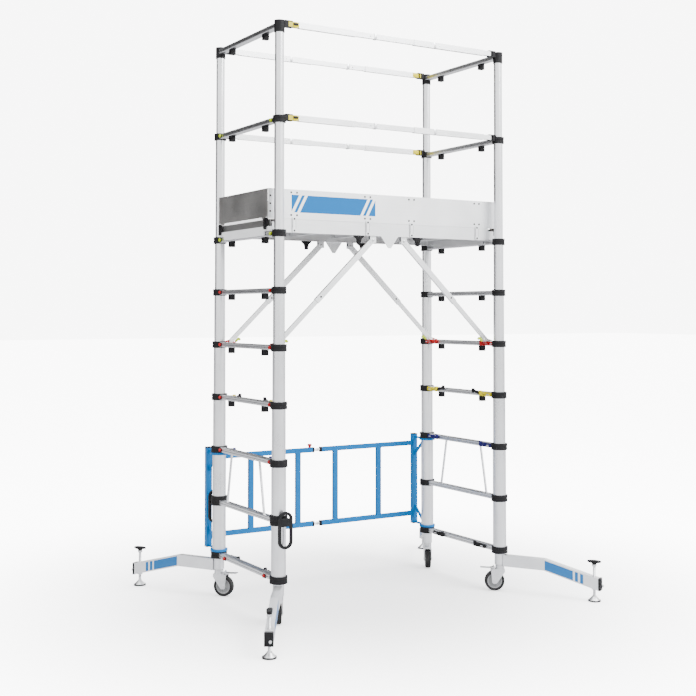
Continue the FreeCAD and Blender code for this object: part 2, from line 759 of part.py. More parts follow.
def hatch():
    """The trapdoor in the deck, hung on two butt hinges along its back edge."""
    panel = block("hatch_length - 2 * hatch_gap", "hatch_width - 2 * hatch_gap", "deck_thickness",
                  "hatch_centre", 0, DECK_LOW)
    knuckles = [hatch_knuckle(f"hatch_centre + ({step}) * hatch_length / 3", "hatch_knuckle_length", -1,
                              "hatch_pin + 2 * pin_gap") for step in (-1, 1)]
    node("hatch", [panel, *knuckles])


def hatch_hinge_pieces():
    """The deck's own knuckles and the pins of the hatch hinges."""
    pieces = []
    for step in (-1, 1):
        x = f"hatch_centre + ({step}) * hatch_length / 3"
        half = "(hatch_knuckle_length / 2 + pin_gap + hatch_knuckle_length / 4)"
        for way in (-1, 1):
            pieces.append(hatch_knuckle(f"{x} + ({way}) * {half}", "hatch_knuckle_length / 2", 1, "hatch_pin"))
        pieces.append(bar("X", "hatch_pin", "2 * hatch_knuckle_length + 2 * pin_gap", x,
                          HATCH_HINGE_Y, HATCH_HINGE_Z))
    return pieces


def side_toe_boards():
    """The long toe boards, each with four straps down the outside of its beam."""
    pieces = []
    for side in (FRONT, BACK):
        y = f"{side} * {PLATFORM_WIDTH} / 2"
        pieces.append(block(f"2 * {TOE_HINGE_X}", "toe_thickness", "toe_height", 0, y, BEAM_HIGH))
        for end in (LEFT, RIGHT):
            for reach in ("strap_inner", "strap_outer"):
                pieces.append(block("strap_width", "toe_thickness", "beam_height + 2 * toe_thickness",
                                    f"{end} * {reach}", f"{y} + {side} * toe_thickness", f"{BEAM_LOW} + toe_thickness / 2"))
    node("side_toe_boards", pieces)


TOE_BLOCK_Y = f"({PLATFORM_WIDTH} / 2 - beam_wall - toe_block / 2 - 9)"


def platform_fittings():
    """The toe boards' hinge blocks and pins, and the fixed half of the hatch hinges."""
    pieces = []
    for end, side in CORNERS:
        x = f"{end} * {TOE_HINGE_X}"
        hinge_block = block("toe_barrel - 2", "toe_block", f"{BEAM_HIGH} + toe_barrel / 4 - {HOOK_TOP}",
                            f"{x} + {end} * 1", f"{side} * {TOE_BLOCK_Y}", HOOK_TOP)
        pin = bar("Y", "toe_pin", "toe_block * 2", x, f"{side} * ({TOE_BLOCK_Y} - toe_block / 2)", BEAM_HIGH)
        pieces.append(join(hinge_block, pin))
    node("platform_fittings", pieces + hatch_hinge_pieces())


def end_toe_board(end):
    """The short toe board at one end, on two barrels so that it folds down onto the deck."""
    x = f"{end} * {TOE_HINGE_X}"
    barrel_y = f"({TOE_BLOCK_Y} - toe_block)"
    low = f"({BEAM_HIGH} + toe_barrel / 2)"
    board = block("toe_thickness", f"{PLATFORM_WIDTH} - 2 * toe_thickness - 2 * toe_gap",
                  "toe_height - toe_barrel / 2", x, 0, low)
    tabs = []
    holes = []
    for side in (FRONT, BACK):
        y = f"{side} * {barrel_y}"
        tabs.append(bar("Y", "toe_barrel", "toe_block - 2", x, y, BEAM_HIGH))
        tabs.append(block("toe_thickness", "toe_block - 2", "toe_barrel", x, y, BEAM_HIGH))
        holes.append(bar("Y", "toe_pin + 2 * pin_gap", "toe_block * 2", x, y, BEAM_HIGH))
    node(f"end_toe_board_{END_NAMES[end]}", [cut(join(board, *tabs), *holes)])


# ---- diagonal braces -----------------------------------------------------------------------

CLAW_X = "(tower_length / 2 - rung_width / 2 - claw_gap - claw_plate - 8)"
CLAW_Z = f"({rung_z(5)} + rung_height / 2 + claw_gap + 6)"
DIAGONAL_RUN = f"({CLAW_X} - diagonal_pivot_reach)"
DIAGONAL_FALL = f"({DIAGONAL_PIVOT} - {CLAW_Z})"
DIAGONAL_LENGTH = f"sqrt({DIAGONAL_RUN} ^ 2 + {DIAGONAL_FALL} ^ 2)"
DIAGONAL_ANGLE = f"atan({DIAGONAL_FALL} / {DIAGONAL_RUN})"


def diagonal_tube(end, side, start, finish, trim, bore):
    """A length of brace tube, measured from its upper pivot down towards the fifth rung."""
    length = f"({finish}) - ({start})"
    middle = f"(({finish}) + ({start})) / 2"
    outside = block(length, f"diagonal_width - 2 * ({trim})", f"diagonal_depth - 2 * ({trim})", middle, 0,
                    f"-diagonal_depth / 2 + ({trim})")
    inside = block(f"{length} + 2", f"diagonal_width - 2 * ({trim} + diagonal_wall)",
                   f"diagonal_depth - 2 * ({trim} + diagonal_wall)", middle, 0,
                   f"-diagonal_depth / 2 + ({trim}) + diagonal_wall")
    tools = [inside]
    if bore:
        tools.append(bar("Y", "ear_bolt + 2 * pin_gap", "diagonal_width * 2", 0, 0, 0))
    sloped = turned([cut(outside, *tools)], (0, 1, 0), DIAGONAL_ANGLE)
    faced = turned([sloped], (0, 0, 1), 90 - 90 * end)
    place(faced, f"{end} * diagonal_pivot_reach", f"{side} * {DIAGONAL_Y}", DIAGONAL_PIVOT)
    return faced


def brace_outer_tubes():
    """The upper, larger tubes of the four diagonal braces, bolted under the platform."""
    node("brace_outer_tubes", [diagonal_tube(end, side, "-12", "diagonal_outer_length", "0", True)
                               for end, side in CORNERS])


def brace_inner(end, side):
    """The lower tube of one diagonal brace, with the angle claw that sits on the fifth rung."""
    sliding = diagonal_tube(end, side, "diagonal_inner_start", DIAGONAL_LENGTH, "diagonal_wall + diagonal_gap", False)
    top = f"{rung_z(5)} + rung_height / 2 + claw_gap"
    inner_face = "(tower_length / 2 - rung_width / 2 - claw_gap)"
    outline = [(f"{end} * ({CLAW_X} - 14)", top),
               (f"{end} * ({inner_face} - claw_plate)", f"{top} - rung_height"),
               (f"{end} * {inner_face}", f"{top} - rung_height"),
               (f"{end} * {inner_face}", top),
               (f"{end} * (tower_length / 2)", top),
               (f"{end} * (tower_length / 2)", f"{top} + claw_plate"),
               (f"{end} * ({CLAW_X} - 14)", f"{top} + 4 * claw_plate")]
    claw = plate("XZ", outline, "claw_width", f"{side} * {DIAGONAL_Y}")
    node(f"brace_inner_{SIDE_NAMES[side]}_{END_NAMES[end]}", [join(sliding, claw)])


# ---- castors -------------------------------------------------------------------------------

# The way each castor trails, in degrees about Z: front left, front right, back left, back right.
CASTOR_YAWS = {(LEFT, FRONT): 65, (RIGHT, FRONT): 148, (LEFT, BACK): -48, (RIGHT, BACK): -120}


def at_corner(pieces, end, side, angle):
    """Pieces built round the leg's axis, turned to their angle and moved to the corner."""
    return turned(pieces, (0, 0, 1), angle, stile_x(end), stile_y(side), 0)


def caster(end, side):
    """A swivelling fork on a kingpin, a tyred wheel on its axle, and the brake pedal."""
    corner = f"{SIDE_NAMES[side]}_{END_NAMES[end]}"
    yaw = CASTOR_YAWS[(end, side)]
    axle_z = "(wheel_diameter / 2)"
    fork_inside = "(wheel_width / 2 + fork_gap)"
    crown_top = f"({CROWN} + crown_plate)"
    pedal_x, pedal_z = "(castor_trail + pedal_ear)", f"({crown_top} + pedal_rise)"

    crown = block("castor_trail * 2 + 14", f"2 * ({fork_inside} + fork_plate)", "crown_plate",
                  "castor_trail / 2 - 5", 0, CROWN)
    race = post("race_diameter", crown_top, f"{LEG_FOOT} - race_gap")
    kingpin = post("kingpin_diameter", crown_top, f"{LEG_FOOT} + kingpin_rise - 2")
    plates = []
    for way in (-1, 1):
        plates.append(plate("XZ", [("-castor_trail / 2 - 12", crown_top), ("-castor_trail / 2 - 12", f"{CROWN} - 10"),
                                   ("castor_trail - 15", f"{axle_z} - 8"), ("castor_trail - 8", f"{axle_z} - 15"),
                                   ("castor_trail + 8", f"{axle_z} - 15"), ("castor_trail + 15", f"{axle_z} - 8"),
                                   ("castor_trail + 20", f"{CROWN} - 10"), ("castor_trail + 20", crown_top)],
                            "fork_plate", f"({way}) * ({fork_inside} + fork_plate / 2)"))
    axle = bar("Y", "axle_diameter", f"2 * ({fork_inside} + fork_plate + axle_head)", "castor_trail", 0, axle_z)
    heads = [bar("Y", "axle_diameter * 1.7", "axle_head", "castor_trail",
                 f"({way}) * ({fork_inside} + fork_plate + axle_head / 2)", axle_z) for way in (-1, 1)]
    ears = [block("2 * pedal_ear", "pedal_ear", "2 * pedal_rise", pedal_x,
                  f"({way}) * (pedal_width / 2 + 1 + pedal_ear / 2)", crown_top) for way in (-1, 1)]
    pivot_pin = bar("Y", "pedal_pin", "pedal_width + 2 * pedal_ear", pedal_x, 0, pedal_z)
    fork = join(crown, race, kingpin, *plates, axle, *heads, *ears, pivot_pin)
    node(f"caster_fork_{corner}", [at_corner([fork], end, side, yaw)])

    bore = bar("Y", "axle_diameter + 2 * axle_gap", "wheel_width * 2", "castor_trail", 0, axle_z)
    tyre = cut(bar("Y", "wheel_diameter", "wheel_width", "castor_trail", 0, axle_z),
               bar("Y", "hub_diameter", "wheel_width * 2", "castor_trail", 0, axle_z))
    tyre = soften(tyre, "tyre_shoulder", lambda edge: edge.Curve.TypeId == "Part::GeomCircle"
                  and abs(edge.Curve.Radius - value("wheel_diameter / 2")) < 0.01)
    hub = cut(bar("Y", "hub_diameter", "hub_width", "castor_trail", 0, axle_z), bore)
    for way in (-1, 1):
        dish = cut(bar("Y", "hub_diameter * 0.86", "hub_width / 2", "castor_trail", f"({way}) * hub_width / 2", axle_z),
                   bar("Y", "hub_diameter * 0.4", "hub_width", "castor_trail", f"({way}) * hub_width / 2", axle_z))
        hub = cut(hub, dish)
    node(f"caster_wheel_{corner}", [at_corner([tyre, hub], end, side, yaw)])

    lever = join(bar("Y", "pedal_barrel", "pedal_width", pedal_x, 0, pedal_z),
                 plate("XZ", [(pedal_x, f"{pedal_z} - 3"), (f"{pedal_x} + 20", f"{pedal_z} - 4"),
                              (f"{pedal_x} + pedal_length - 4", f"{pedal_z} - 1"),
                              (f"{pedal_x} + pedal_length - 4", f"{pedal_z} + 3"),
                              (f"{pedal_x} + 20", pedal_z), (pedal_x, f"{pedal_z} + 4")],
                       "pedal_width"))
    pedal = cut(lever, bar("Y", "pedal_pin + 2 * pin_gap", "pedal_width * 2", pedal_x, 0, pedal_z))
    node(f"brake_pedal_{corner}", [at_corner([pedal], end, side, yaw)])


# ---- outriggers ----------------------------------------------------------------------------

def arm_angle(end, side):
    """The way an arm points, in degrees about Z."""
    return f"{side} * arm_angle" if end == RIGHT else f"{side} * (180 - arm_angle)"


ARM_LOW = f"({LEG_FOOT} - arm_sink)"
ARM_TIP_LOW = f"({ARM_LOW} - arm_drop)"
ARM_TIP_HIGH = f"({ARM_TIP_LOW} + arm_depth * 1.03)"
SLEEVE_LOW = f"({LEG_FOOT} + sleeve_rise)"
SLEEVE_TOP = f"({SLEEVE_LOW} + sleeve_height)"
JACK_TOP = f"({ARM_LOW} + arm_depth + jack_rise)"


def arm_outline(trim):
    """The side view of the arm's tube: level from the leg, then falling to the jack."""
    inner_end = "sleeve_diameter / 2 - 3"
    return [(inner_end, f"{ARM_LOW} + {trim}"), (f"arm_bend_reach + {trim} / 4", f"{ARM_LOW} + {trim}"),
            ("arm_reach", f"{ARM_TIP_LOW} + {trim}"), ("arm_reach", f"{ARM_TIP_HIGH} - {trim}"),
            (f"arm_bend_reach + {trim} / 4", f"{ARM_LOW} + arm_depth - {trim}"),
            (inner_end, f"{ARM_LOW} + arm_depth - {trim}")]


def outrigger(end, side):
    """A cranked arm that swings round the castor leg, and the screw jack and foot at its end."""
    corner = f"{SIDE_NAMES[side]}_{END_NAMES[end]}"
    angle = arm_angle(end, side)
    arm = cut(plate("XZ", arm_outline("0"), "arm_width"), plate("XZ", arm_outline("arm_wall"), "arm_width - 2 * arm_wall"))
    sleeve = post("sleeve_diameter", SLEEVE_LOW, SLEEVE_TOP)
    boss = post("jack_diameter + 2 * jack_boss_wall", f"{ARM_TIP_LOW} + 2", f"{ARM_TIP_LOW} + arm_depth", "jack_reach")
    end_plug = plate("XZ", [("arm_reach", f"{ARM_TIP_LOW} - 1"), ("arm_reach + arm_cap", f"{ARM_TIP_LOW} - 1"),
                            ("arm_reach + arm_cap", f"{ARM_TIP_HIGH} + 1"), ("arm_reach", f"{ARM_TIP_HIGH} + 1")],
                     "arm_width + 2")
    screw = bar("X", "plug_screw", "plug_screw * 2 / 3", "arm_reach + arm_cap + plug_screw / 3", "arm_width / 5",
                f"{ARM_TIP_LOW} + arm_depth / 3")
    body = cut(join(arm, sleeve, boss, end_plug, screw),
               post("leg_diameter + 2 * sleeve_gap", f"{LEG_FOOT} - 1", f"{SLEEVE_TOP} + 1"),
               post("jack_diameter + 2 * jack_gap", 0, JACK_TOP, "jack_reach"))
    node(f"outrigger_arm_{corner}", [at_corner([body], end, side, angle)])

    spindle = join(post("jack_diameter", "foot_height - 6", f"{JACK_TOP} + 4", "jack_reach"),
                   post("jack_diameter + 10", f"{JACK_TOP} - 6", f"{JACK_TOP} + 4", "jack_reach"),
                   soften(block("knob_span", "knob_width", "knob_height - 4", "jack_reach", 0, f"{JACK_TOP} + 2"),
                          "knob_width / 2 - 2", runs_along("Z")))
    node(f"jack_screw_{corner}", [at_corner([spindle], end, side, angle)])

    cone = doc.addObject("Part::Cone", "Cone")
    bind(cone, Radius1="foot_diameter / 2 - 3", Radius2="jack_diameter / 2 + 5", Height="foot_height - foot_pad")
    place(cone, "jack_reach", 0, "foot_pad")
    shoe = cut(cone, post("jack_diameter", "foot_height - 6", "foot_height + 1", "jack_reach"))
    pad = post("foot_diameter", 0, "foot_pad", "jack_reach")
    node(f"jack_foot_{corner}", [at_corner([shoe, pad], end, side, angle)])


# ---- the whole tower -----------------------------------------------------------------------

base_stiles()
base_rungs()
base_collars()
frame_struts()
caster_legs()
carry_handles()
base_brace_panels()
base_brace_posts()
section("4", [4])
section("5_to_7", [5, 6, 7])
section("8", [8])
section("9", [9])
for rail_side in (FRONT, BACK):
    guard_rail(8, rail_side, "mid")
    guard_rail(9, rail_side, "top")
deck_frame()
deck_panel()
hatch()
side_toe_boards()
platform_fittings()
for tower_end in (LEFT, RIGHT):
    end_toe_board(tower_end)
brace_outer_tubes()
for tower_end, tower_side in CORNERS:
    brace_inner(tower_end, tower_side)
    caster(tower_end, tower_side)
    outrigger(tower_end, tower_side)
doc.recompute()

faults = [f"{thing.Name} {thing.State}" for thing in doc.Objects if {"Invalid", "Error"} & set(thing.State)]
faults += [part.Label for part in NODES if part.Shape.isNull() or not part.Shape.isValid()]
if faults:
    raise RuntimeError("these did not build: " + ", ".join(faults))

os.makedirs("parts", exist_ok=True)
for part in NODES:
    part.Shape.exportStep(f"parts/{part.Label}.step")
print(len(NODES), "sub-parts written")
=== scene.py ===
import json
import math

import bmesh
import bpy
from mathutils import Matrix, Vector


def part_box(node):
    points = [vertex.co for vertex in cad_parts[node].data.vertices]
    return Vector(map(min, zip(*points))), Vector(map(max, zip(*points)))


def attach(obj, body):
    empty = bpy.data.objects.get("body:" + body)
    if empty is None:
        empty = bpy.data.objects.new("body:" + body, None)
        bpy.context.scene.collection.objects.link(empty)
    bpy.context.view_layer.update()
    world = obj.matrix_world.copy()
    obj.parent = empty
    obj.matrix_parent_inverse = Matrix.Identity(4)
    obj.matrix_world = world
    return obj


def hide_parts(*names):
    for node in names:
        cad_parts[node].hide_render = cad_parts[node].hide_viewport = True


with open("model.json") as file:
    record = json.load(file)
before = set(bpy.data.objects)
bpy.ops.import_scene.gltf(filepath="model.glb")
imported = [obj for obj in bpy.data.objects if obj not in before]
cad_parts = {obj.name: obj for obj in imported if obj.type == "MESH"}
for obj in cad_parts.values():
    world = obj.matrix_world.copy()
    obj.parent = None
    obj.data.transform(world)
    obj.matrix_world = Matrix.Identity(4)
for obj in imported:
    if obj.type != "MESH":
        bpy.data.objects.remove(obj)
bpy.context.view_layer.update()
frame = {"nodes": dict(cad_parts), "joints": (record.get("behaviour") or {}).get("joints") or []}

nodes = frame["nodes"]
joints = {joint["name"]: joint for joint in frame["joints"]}


# ---- Stiles --------------------------------------------------------------------------------
# The uprights of both end frames are drawn aluminium tubes, each sliding in the one below.
# They are bare metal with fine die lines along their length and a cloudy, handled surface.

class Value:
    """One output of a shader node. A sum on values puts in the Math node that works it out."""

    def __init__(self, finish, socket):
        self.finish = finish
        self.socket = socket

    def maths(self, operation, first, second):
        return self.finish.add("ShaderNodeMath", {"operation": operation}, {0: first, 1: second})

    def __add__(self, other):
        return self.maths("ADD", self, other)

    def __radd__(self, other):
        return self.maths("ADD", other, self)

    def __sub__(self, other):
        return self.maths("SUBTRACT", self, other)

    def __rsub__(self, other):
        return self.maths("SUBTRACT", other, self)

    def __mul__(self, other):
        return self.maths("MULTIPLY", self, other)

    def __rmul__(self, other):
        return self.maths("MULTIPLY", other, self)

    def __gt__(self, other):
        return self.maths("GREATER_THAN", self, other)

    def __lt__(self, other):
        return self.maths("LESS_THAN", self, other)


class Finish:
    """A material as it is built up, node by node."""

    def __init__(self, name):
        self.material = bpy.data.materials.new(name)
        self.material.use_nodes = True
        self.tree = self.material.node_tree
        self.shader = self.tree.nodes["Principled BSDF"]

    def add(self, kind, settings, sockets, output=0):
        node = self.tree.nodes.new(kind)
        for name, setting in settings.items():
            setattr(node, name, setting)
        for name, value in sockets.items():
            if isinstance(value, Value):
                self.tree.links.new(value.socket, node.inputs[name])
            else:
                node.inputs[name].default_value = value
        return Value(self, node.outputs[output])

    def surface(self, **sockets):
        for name, value in sockets.items():
            socket = self.shader.inputs[name.replace("_", " ")]
            if isinstance(value, Value):
                self.tree.links.new(value.socket, socket)
            else:
                socket.default_value = value
        return self.material

    def place(self, stretch=(1, 1, 1)):
        """Where a point is on the object, stretched so that a pattern runs along the grain."""
        here = self.add("ShaderNodeTexCoord", {}, {}, "Object")
        return self.add("ShaderNodeMapping", {}, {"Vector": here, "Scale": stretch})

    def along(self, axis):
        """How far a point lies along one of the object's axes."""
        return self.add("ShaderNodeSeparateXYZ", {}, {"Vector": self.place()}, axis)

    def noise(self, scale, detail=3.0, stretch=(1, 1, 1)):
        sockets = {"Vector": self.place(stretch), "Scale": scale, "Detail": detail}
        return self.add("ShaderNodeTexNoise", {}, sockets)

    def blend(self, mask, first, second):
        """A colour between two others."""
        first, second = [c if isinstance(c, Value) else (*c, 1) for c in (first, second)]
        return self.add("ShaderNodeMix", {"data_type": "RGBA"}, {0: mask, 6: first, 7: second}, 2)

    def clip(self, value, low, high):
        """A value spread so that low becomes 0 and high becomes 1."""
        sockets = {"Value": value, "From Min": low, "From Max": high}
        return self.add("ShaderNodeMapRange", {"clamp": True}, sockets)

    def fraction(self, value):
        """The part of a value after the point."""
        return self.add("ShaderNodeMath", {"operation": "FRACT"}, {0: value})

    def magnitude(self, value):
        """A value without its sign."""
        return self.add("ShaderNodeMath", {"operation": "ABSOLUTE"}, {0: value})

    def between(self, value, low, high):
        """1 where a value lies between two others, and 0 elsewhere."""
        return (value > low) * (value < high)

    def bump(self, height, depth, strength=1.0):
        return self.add("ShaderNodeBump", {}, {"Height": height, "Distance": depth, "Strength": strength})


def drawn_aluminium(name, grain, light=(0.86, 0.87, 0.89), dark=(0.70, 0.71, 0.73), roughness=0.30):
    """Extruded aluminium with die lines. The grain is how fine the lines are along X, Y and Z."""
    finish = Finish(name)
    lines = finish.noise(1.0, 5.0, grain)
    clouds = finish.noise(7.0, 4.0)
    marks = finish.clip(finish.noise(60.0, 6.0, tuple(min(g, 3) for g in grain)), 0.60, 0.72)
    tone = finish.clip(lines * 0.6 + clouds * 0.4, 0.25, 0.75)
    return finish.surface(
        Base_Color=finish.blend(tone, dark, light),
        Metallic=1.0,
        Roughness=finish.clip(clouds, 0.2, 0.8) * 0.12 + lines * 0.08 + marks * 0.10 + roughness,
        Normal=finish.bump(lines, 0.00012, 0.5),
    )


def dress(material, *names):
    """Gives CAD nodes a finish."""
    for name in names:
        for slot in nodes[name].material_slots:
            slot.material = material


FINE, LONG = 620.0, 5.0
stile_metal = drawn_aluminium("stile_aluminium", (FINE, FINE, LONG), roughness=0.20)
dress(stile_metal, "base_stiles", "stiles_4", "stiles_5_to_7", "stiles_8", "stiles_9")


# ---- Rungs ---------------------------------------------------------------------------------
# Hollow aluminium extrusions with a ribbed tread, coped to the collars at both ends.

LENGTH, WIDTH, RUNG_PITCH, FIRST_RUNG = 1.410, 0.710, 0.290, 0.230


def rung_metal(name, height):
    """Ribbed extrusion. Rungs at this height, and at any whole number of pitches from it, have a groove along
    the middle of each side and ribs along the tread. The groove and the gaps between the ribs are bumped in
    and painted near black as painted shade."""
    finish = Finish(name)
    lines = finish.noise(1.0, 5.0, (FINE, LONG, FINE))
    normal = finish.add("ShaderNodeNewGeometry", {}, {}, "Normal")
    facing = finish.add("ShaderNodeSeparateXYZ", {}, {"Vector": normal}, "Z")
    pitches = (finish.along("Z") - height) * (1 / RUNG_PITCH) + 100.5
    groove = finish.between(finish.fraction(pitches), 0.4945, 0.5045)
    ribs = finish.fraction(finish.along("X") * 190.0)
    tread = (facing > 0.8) * (ribs < 0.5)
    worn = finish.noise(9.0, 4.0)
    # The groove and the gaps between the tread ribs are painted near black: painted shade in the hollows,
    # over the die-line tone.
    shade = groove * 0.75 + tread * 0.8 + lines * 0.15
    return finish.surface(
        Base_Color=finish.blend(shade, (0.80, 0.81, 0.83), (0.13, 0.13, 0.14)),
        Metallic=1.0,
        Roughness=worn * 0.12 + lines * 0.08 + 0.24,
        Normal=finish.bump(lines - shade, 0.0004, 0.5),
    )


dress(rung_metal("rung_aluminium", FIRST_RUNG), "base_rungs", "rungs_4", "rungs_5_to_7", "rungs_8")
dress(rung_metal("top_rung_aluminium", 3.030), "rungs_9")


# ---- Collars, stops and caps ---------------------------------------------------------------
# Glass-filled nylon mouldings, near black, with the fine sparkle of an eroded mould.

def moulding(name, colour, pale, roughness=0.42, coat=0.0, sheen=0.5):
    """A moulded plastic: eroded texture, slight flow marks and scuffs that have gone pale."""
    finish = Finish(name)
    grit = finish.noise(1500.0, 2.0)
    flow = finish.noise(22.0, 3.0)
    scuffs = finish.clip(finish.noise(130.0, 8.0, (1, 1, 0.35)), 0.62, 0.70)
    body = finish.blend(finish.clip(flow, 0.3, 0.7), colour, tuple(c * 1.25 for c in colour))
    return finish.surface(
        Base_Color=finish.blend(scuffs * 0.5, body, pale),
        Roughness=flow * 0.14 + grit * 0.06 + scuffs * 0.15 + roughness,
        Coat_Weight=coat,
        Specular_IOR_Level=sheen,
        Normal=finish.bump(grit, 0.00008, 0.6),
    )


black_nylon = moulding("black_nylon", (0.007, 0.007, 0.008), (0.045, 0.045, 0.050), sheen=0.15)
dress(black_nylon, "base_collars", "collars_4", "collars_5_to_7", "collars_8", "caps_9")


# ---- Release buttons -----------------------------------------------------------------------
# Beside each collar a spring button on the rung's outer face lets the next tube down. The
# lower ones are red and those at deck height are lime. Each sits in a shallow nylon cup.

RUNG_HEIGHTS = {number: FIRST_RUNG + RUNG_PITCH * (number - 1) for number in range(1, 8)}
RUNG_HEIGHTS |= {8: 2.550, 9: 3.030}
RUNG_HALF_WIDTH = 0.019
ENDS = {"left": -1, "right": 1}
SIDES = {"front": -1, "back": 1}
SECTION_OF = {1: "base", 2: "base", 3: "base", 4: "section_4", 5: "section_5_to_7", 6: "section_5_to_7",
              7: "section_5_to_7", 8: "section_8", 9: "section_9"}


def collar_radius(number):
    """The outer radius of a rung's collar: the tubes get thinner by the same step each time."""
    return 0.0375 + 0.008 - 0.0024 * max(number - 3, 0)


def round_over(shape, edges, radius, segments=2):
    """Rounds edges, and gives back every corner of what they belong to."""
    bevelled = bmesh.ops.bevel(shape, geom=edges, offset=radius, offset_type="OFFSET", affect="EDGES",
                               segments=segments, profile=0.5, material=-1)
    return linked({vert for face in bevelled["faces"] for vert in face.verts})


def rounded_block(shape, size, centre, radius, segments=2, turn=None):
    """A block with its edges rounded over, added to a mesh."""
    made = bmesh.ops.create_cube(shape, size=1.0)["verts"]
    bmesh.ops.scale(shape, vec=size, verts=made)
    made = round_over(shape, edges_of(made), radius, segments)
    move = Matrix.Translation(centre) @ (turn.to_4x4() if turn else Matrix())
    bmesh.ops.transform(shape, matrix=move, verts=made)
    return made


def edges_of(verts):
    """The edges that meet at these corners."""
    return list({edge for vert in verts for edge in vert.link_edges})


def linked(start):
    """Every corner joined to these ones by edges."""
    found, waiting = set(start), list(start)
    while waiting:
        for edge in waiting.pop().link_edges:
            for vert in edge.verts:
                if vert not in found:
                    found.add(vert)
                    waiting.append(vert)
    return list(found)


def stub(shape, radius, depth, centre, axis, rim, steps=20):
    """A short round boss along an axis, with its rim rounded."""
    made = bmesh.ops.create_cone(shape, cap_ends=True, segments=steps, radius1=radius, radius2=radius,
                                 depth=depth)["verts"]
    level = [edge for edge in edges_of(made) if abs(edge.verts[0].co.z - edge.verts[1].co.z) < 1e-6]
    made = round_over(shape, level, rim)
    turn = Vector(axis).to_track_quat("Z", "Y").to_matrix().to_4x4()
    bmesh.ops.transform(shape, matrix=Matrix.Translation(centre) @ turn, verts=made)
    return made


def piece(name, shape, materials, body, slot, sharp=40):
    """Turns a finished mesh into a named piece that moves with a body."""
    mesh = bpy.data.meshes.new(name)
    bmesh.ops.recalc_face_normals(shape, faces=shape.faces)
    for face in shape.faces:
        face.smooth = True
    shape.to_mesh(mesh)
    shape.free()
    mesh.set_sharp_from_angle(angle=math.radians(sharp))
    for material in materials:
        mesh.materials.append(material)
    made = bpy.data.objects.new(name, mesh)
    bpy.context.scene.collection.objects.link(made)
    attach(made, body)
    return made


def paint(shape, verts, index):
    """Gives the faces on these corners one of the piece's materials."""
    chosen = set(verts)
    for face in shape.faces:
        if all(vert in chosen for vert in face.verts):
            face.material_index = index


signal_red = moulding("signal_red", (0.30, 0.002, 0.004), (0.50, 0.10, 0.09), roughness=0.30, sheen=0.25)
lime = moulding("lime_moulding", (0.36, 0.46, 0.004), (0.60, 0.66, 0.20), roughness=0.30, sheen=0.25)
BUTTON_COLOURS = {1: signal_red, 3: signal_red, 4: signal_red, 5: signal_red, 6: signal_red, 7: lime, 8: lime}
BUTTON_INSET = {1: 0.072}
for number, colour in BUTTON_COLOURS.items():
    buttons = bmesh.new()
    for end in ENDS.values():
        for side in SIDES.values():
            x = end * (LENGTH / 2 + RUNG_HALF_WIDTH)
            y = side * (WIDTH / 2 - collar_radius(number) - BUTTON_INSET.get(number, 0.014))
            height = RUNG_HEIGHTS[number] - (0.004 if number == 1 else 0)
            cup = rounded_block(buttons, (0.004, 0.027, 0.022), (x, y, height), 0.0015)
            paint(buttons, cup, 1)
            stub(buttons, 0.0085, 0.011, (x + end * 0.0055, y, height), (end, 0, 0), rim=0.002)
    piece(f"release_buttons_{number}", buttons, [colour, black_nylon], SECTION_OF[number],
          "lime_moulding" if colour == lime else "red_moulding")


# ---- Rung clips ----------------------------------------------------------------------------
# On the inner face of the lower rungs, two spring clips hold the folded stabilisers and braces.
# Each level has its own colour so that the frames go together the right way up.

navy = moulding("navy_moulding", (0.004, 0.003, 0.075), (0.03, 0.03, 0.16), roughness=0.32, sheen=0.25)
yellow = moulding("yellow_moulding", (0.52, 0.44, 0.002), (0.72, 0.66, 0.18), roughness=0.30, sheen=0.25)
CLIP_COLOURS = {1: (black_nylon, "black_moulding"), 3: (navy, "navy_moulding"),
                4: (yellow, "yellow_moulding"), 5: (signal_red, "red_moulding")}
CLIP_START, HOOK_START = {1: 0.058, 3: 0, 4: 0, 5: -0.028}, {1: 0.108, 3: 0.052, 4: 0.052, 5: 0.050}
for number, (colour, slot_name) in CLIP_COLOURS.items():
    clips = bmesh.new()
    for end in ENDS.values():
        for side in SIDES.values():
            face_x = end * (LENGTH / 2 - RUNG_HALF_WIDTH)
            collar_y, height = side * (WIDTH / 2 - collar_radius(number)), RUNG_HEIGHTS[number]
            body_y = collar_y - side * (CLIP_START[number] + 0.024)
            length = 0.050 if number != 5 else 0.038
            rounded_block(clips, (0.012, length, 0.022), (face_x - end * 0.005, body_y, height), 0.003)
            slot_centre = (face_x - end * 0.0112, body_y, height)
            slot_mark = rounded_block(clips, (0.002, length * 0.4, 0.007), slot_centre, 0.0008)
            paint(clips, slot_mark, 1)
            block_x, tip_x = face_x - end * 0.006, face_x - end * 0.007
            hook_y = collar_y - side * (HOOK_START[number] + 0.024)
            rounded_block(clips, (0.014, 0.052, 0.013), (block_x, hook_y, height - 0.005), 0.003)
            rounded_block(clips, (0.016, 0.016, 0.031), (tip_x, hook_y - side * 0.018, height + 0.003), 0.004)
            heel_centre = (block_x, hook_y + side * 0.018, height + 0.001)
            rounded_block(clips, (0.014, 0.012, 0.024), heel_centre, 0.003)
            if number == 4:
                lean = Matrix.Rotation(-side * math.radians(15), 3, "X")
                latch_y = collar_y - side * 0.138
                bar_centre = (block_x, latch_y, height + 0.010)
                tip_centre = (tip_x, latch_y - side * 0.026, height + 0.015)
                bar = rounded_block(clips, (0.010, 0.066, 0.014), bar_centre, 0.003, 2, lean)
                tip = rounded_block(clips, (0.014, 0.018, 0.026), tip_centre, 0.004)
                paint(clips, bar, 2)
                paint(clips, tip, 2)
    piece(f"rung_clips_{number}", clips, [colour, stile_metal, black_nylon], SECTION_OF[number], slot_name)


# ---- Struts and carrying handles -----------------------------------------------------------
# Thin splayed rods stiffen the lowest bay of each frame. The handles are flat nylon loops.

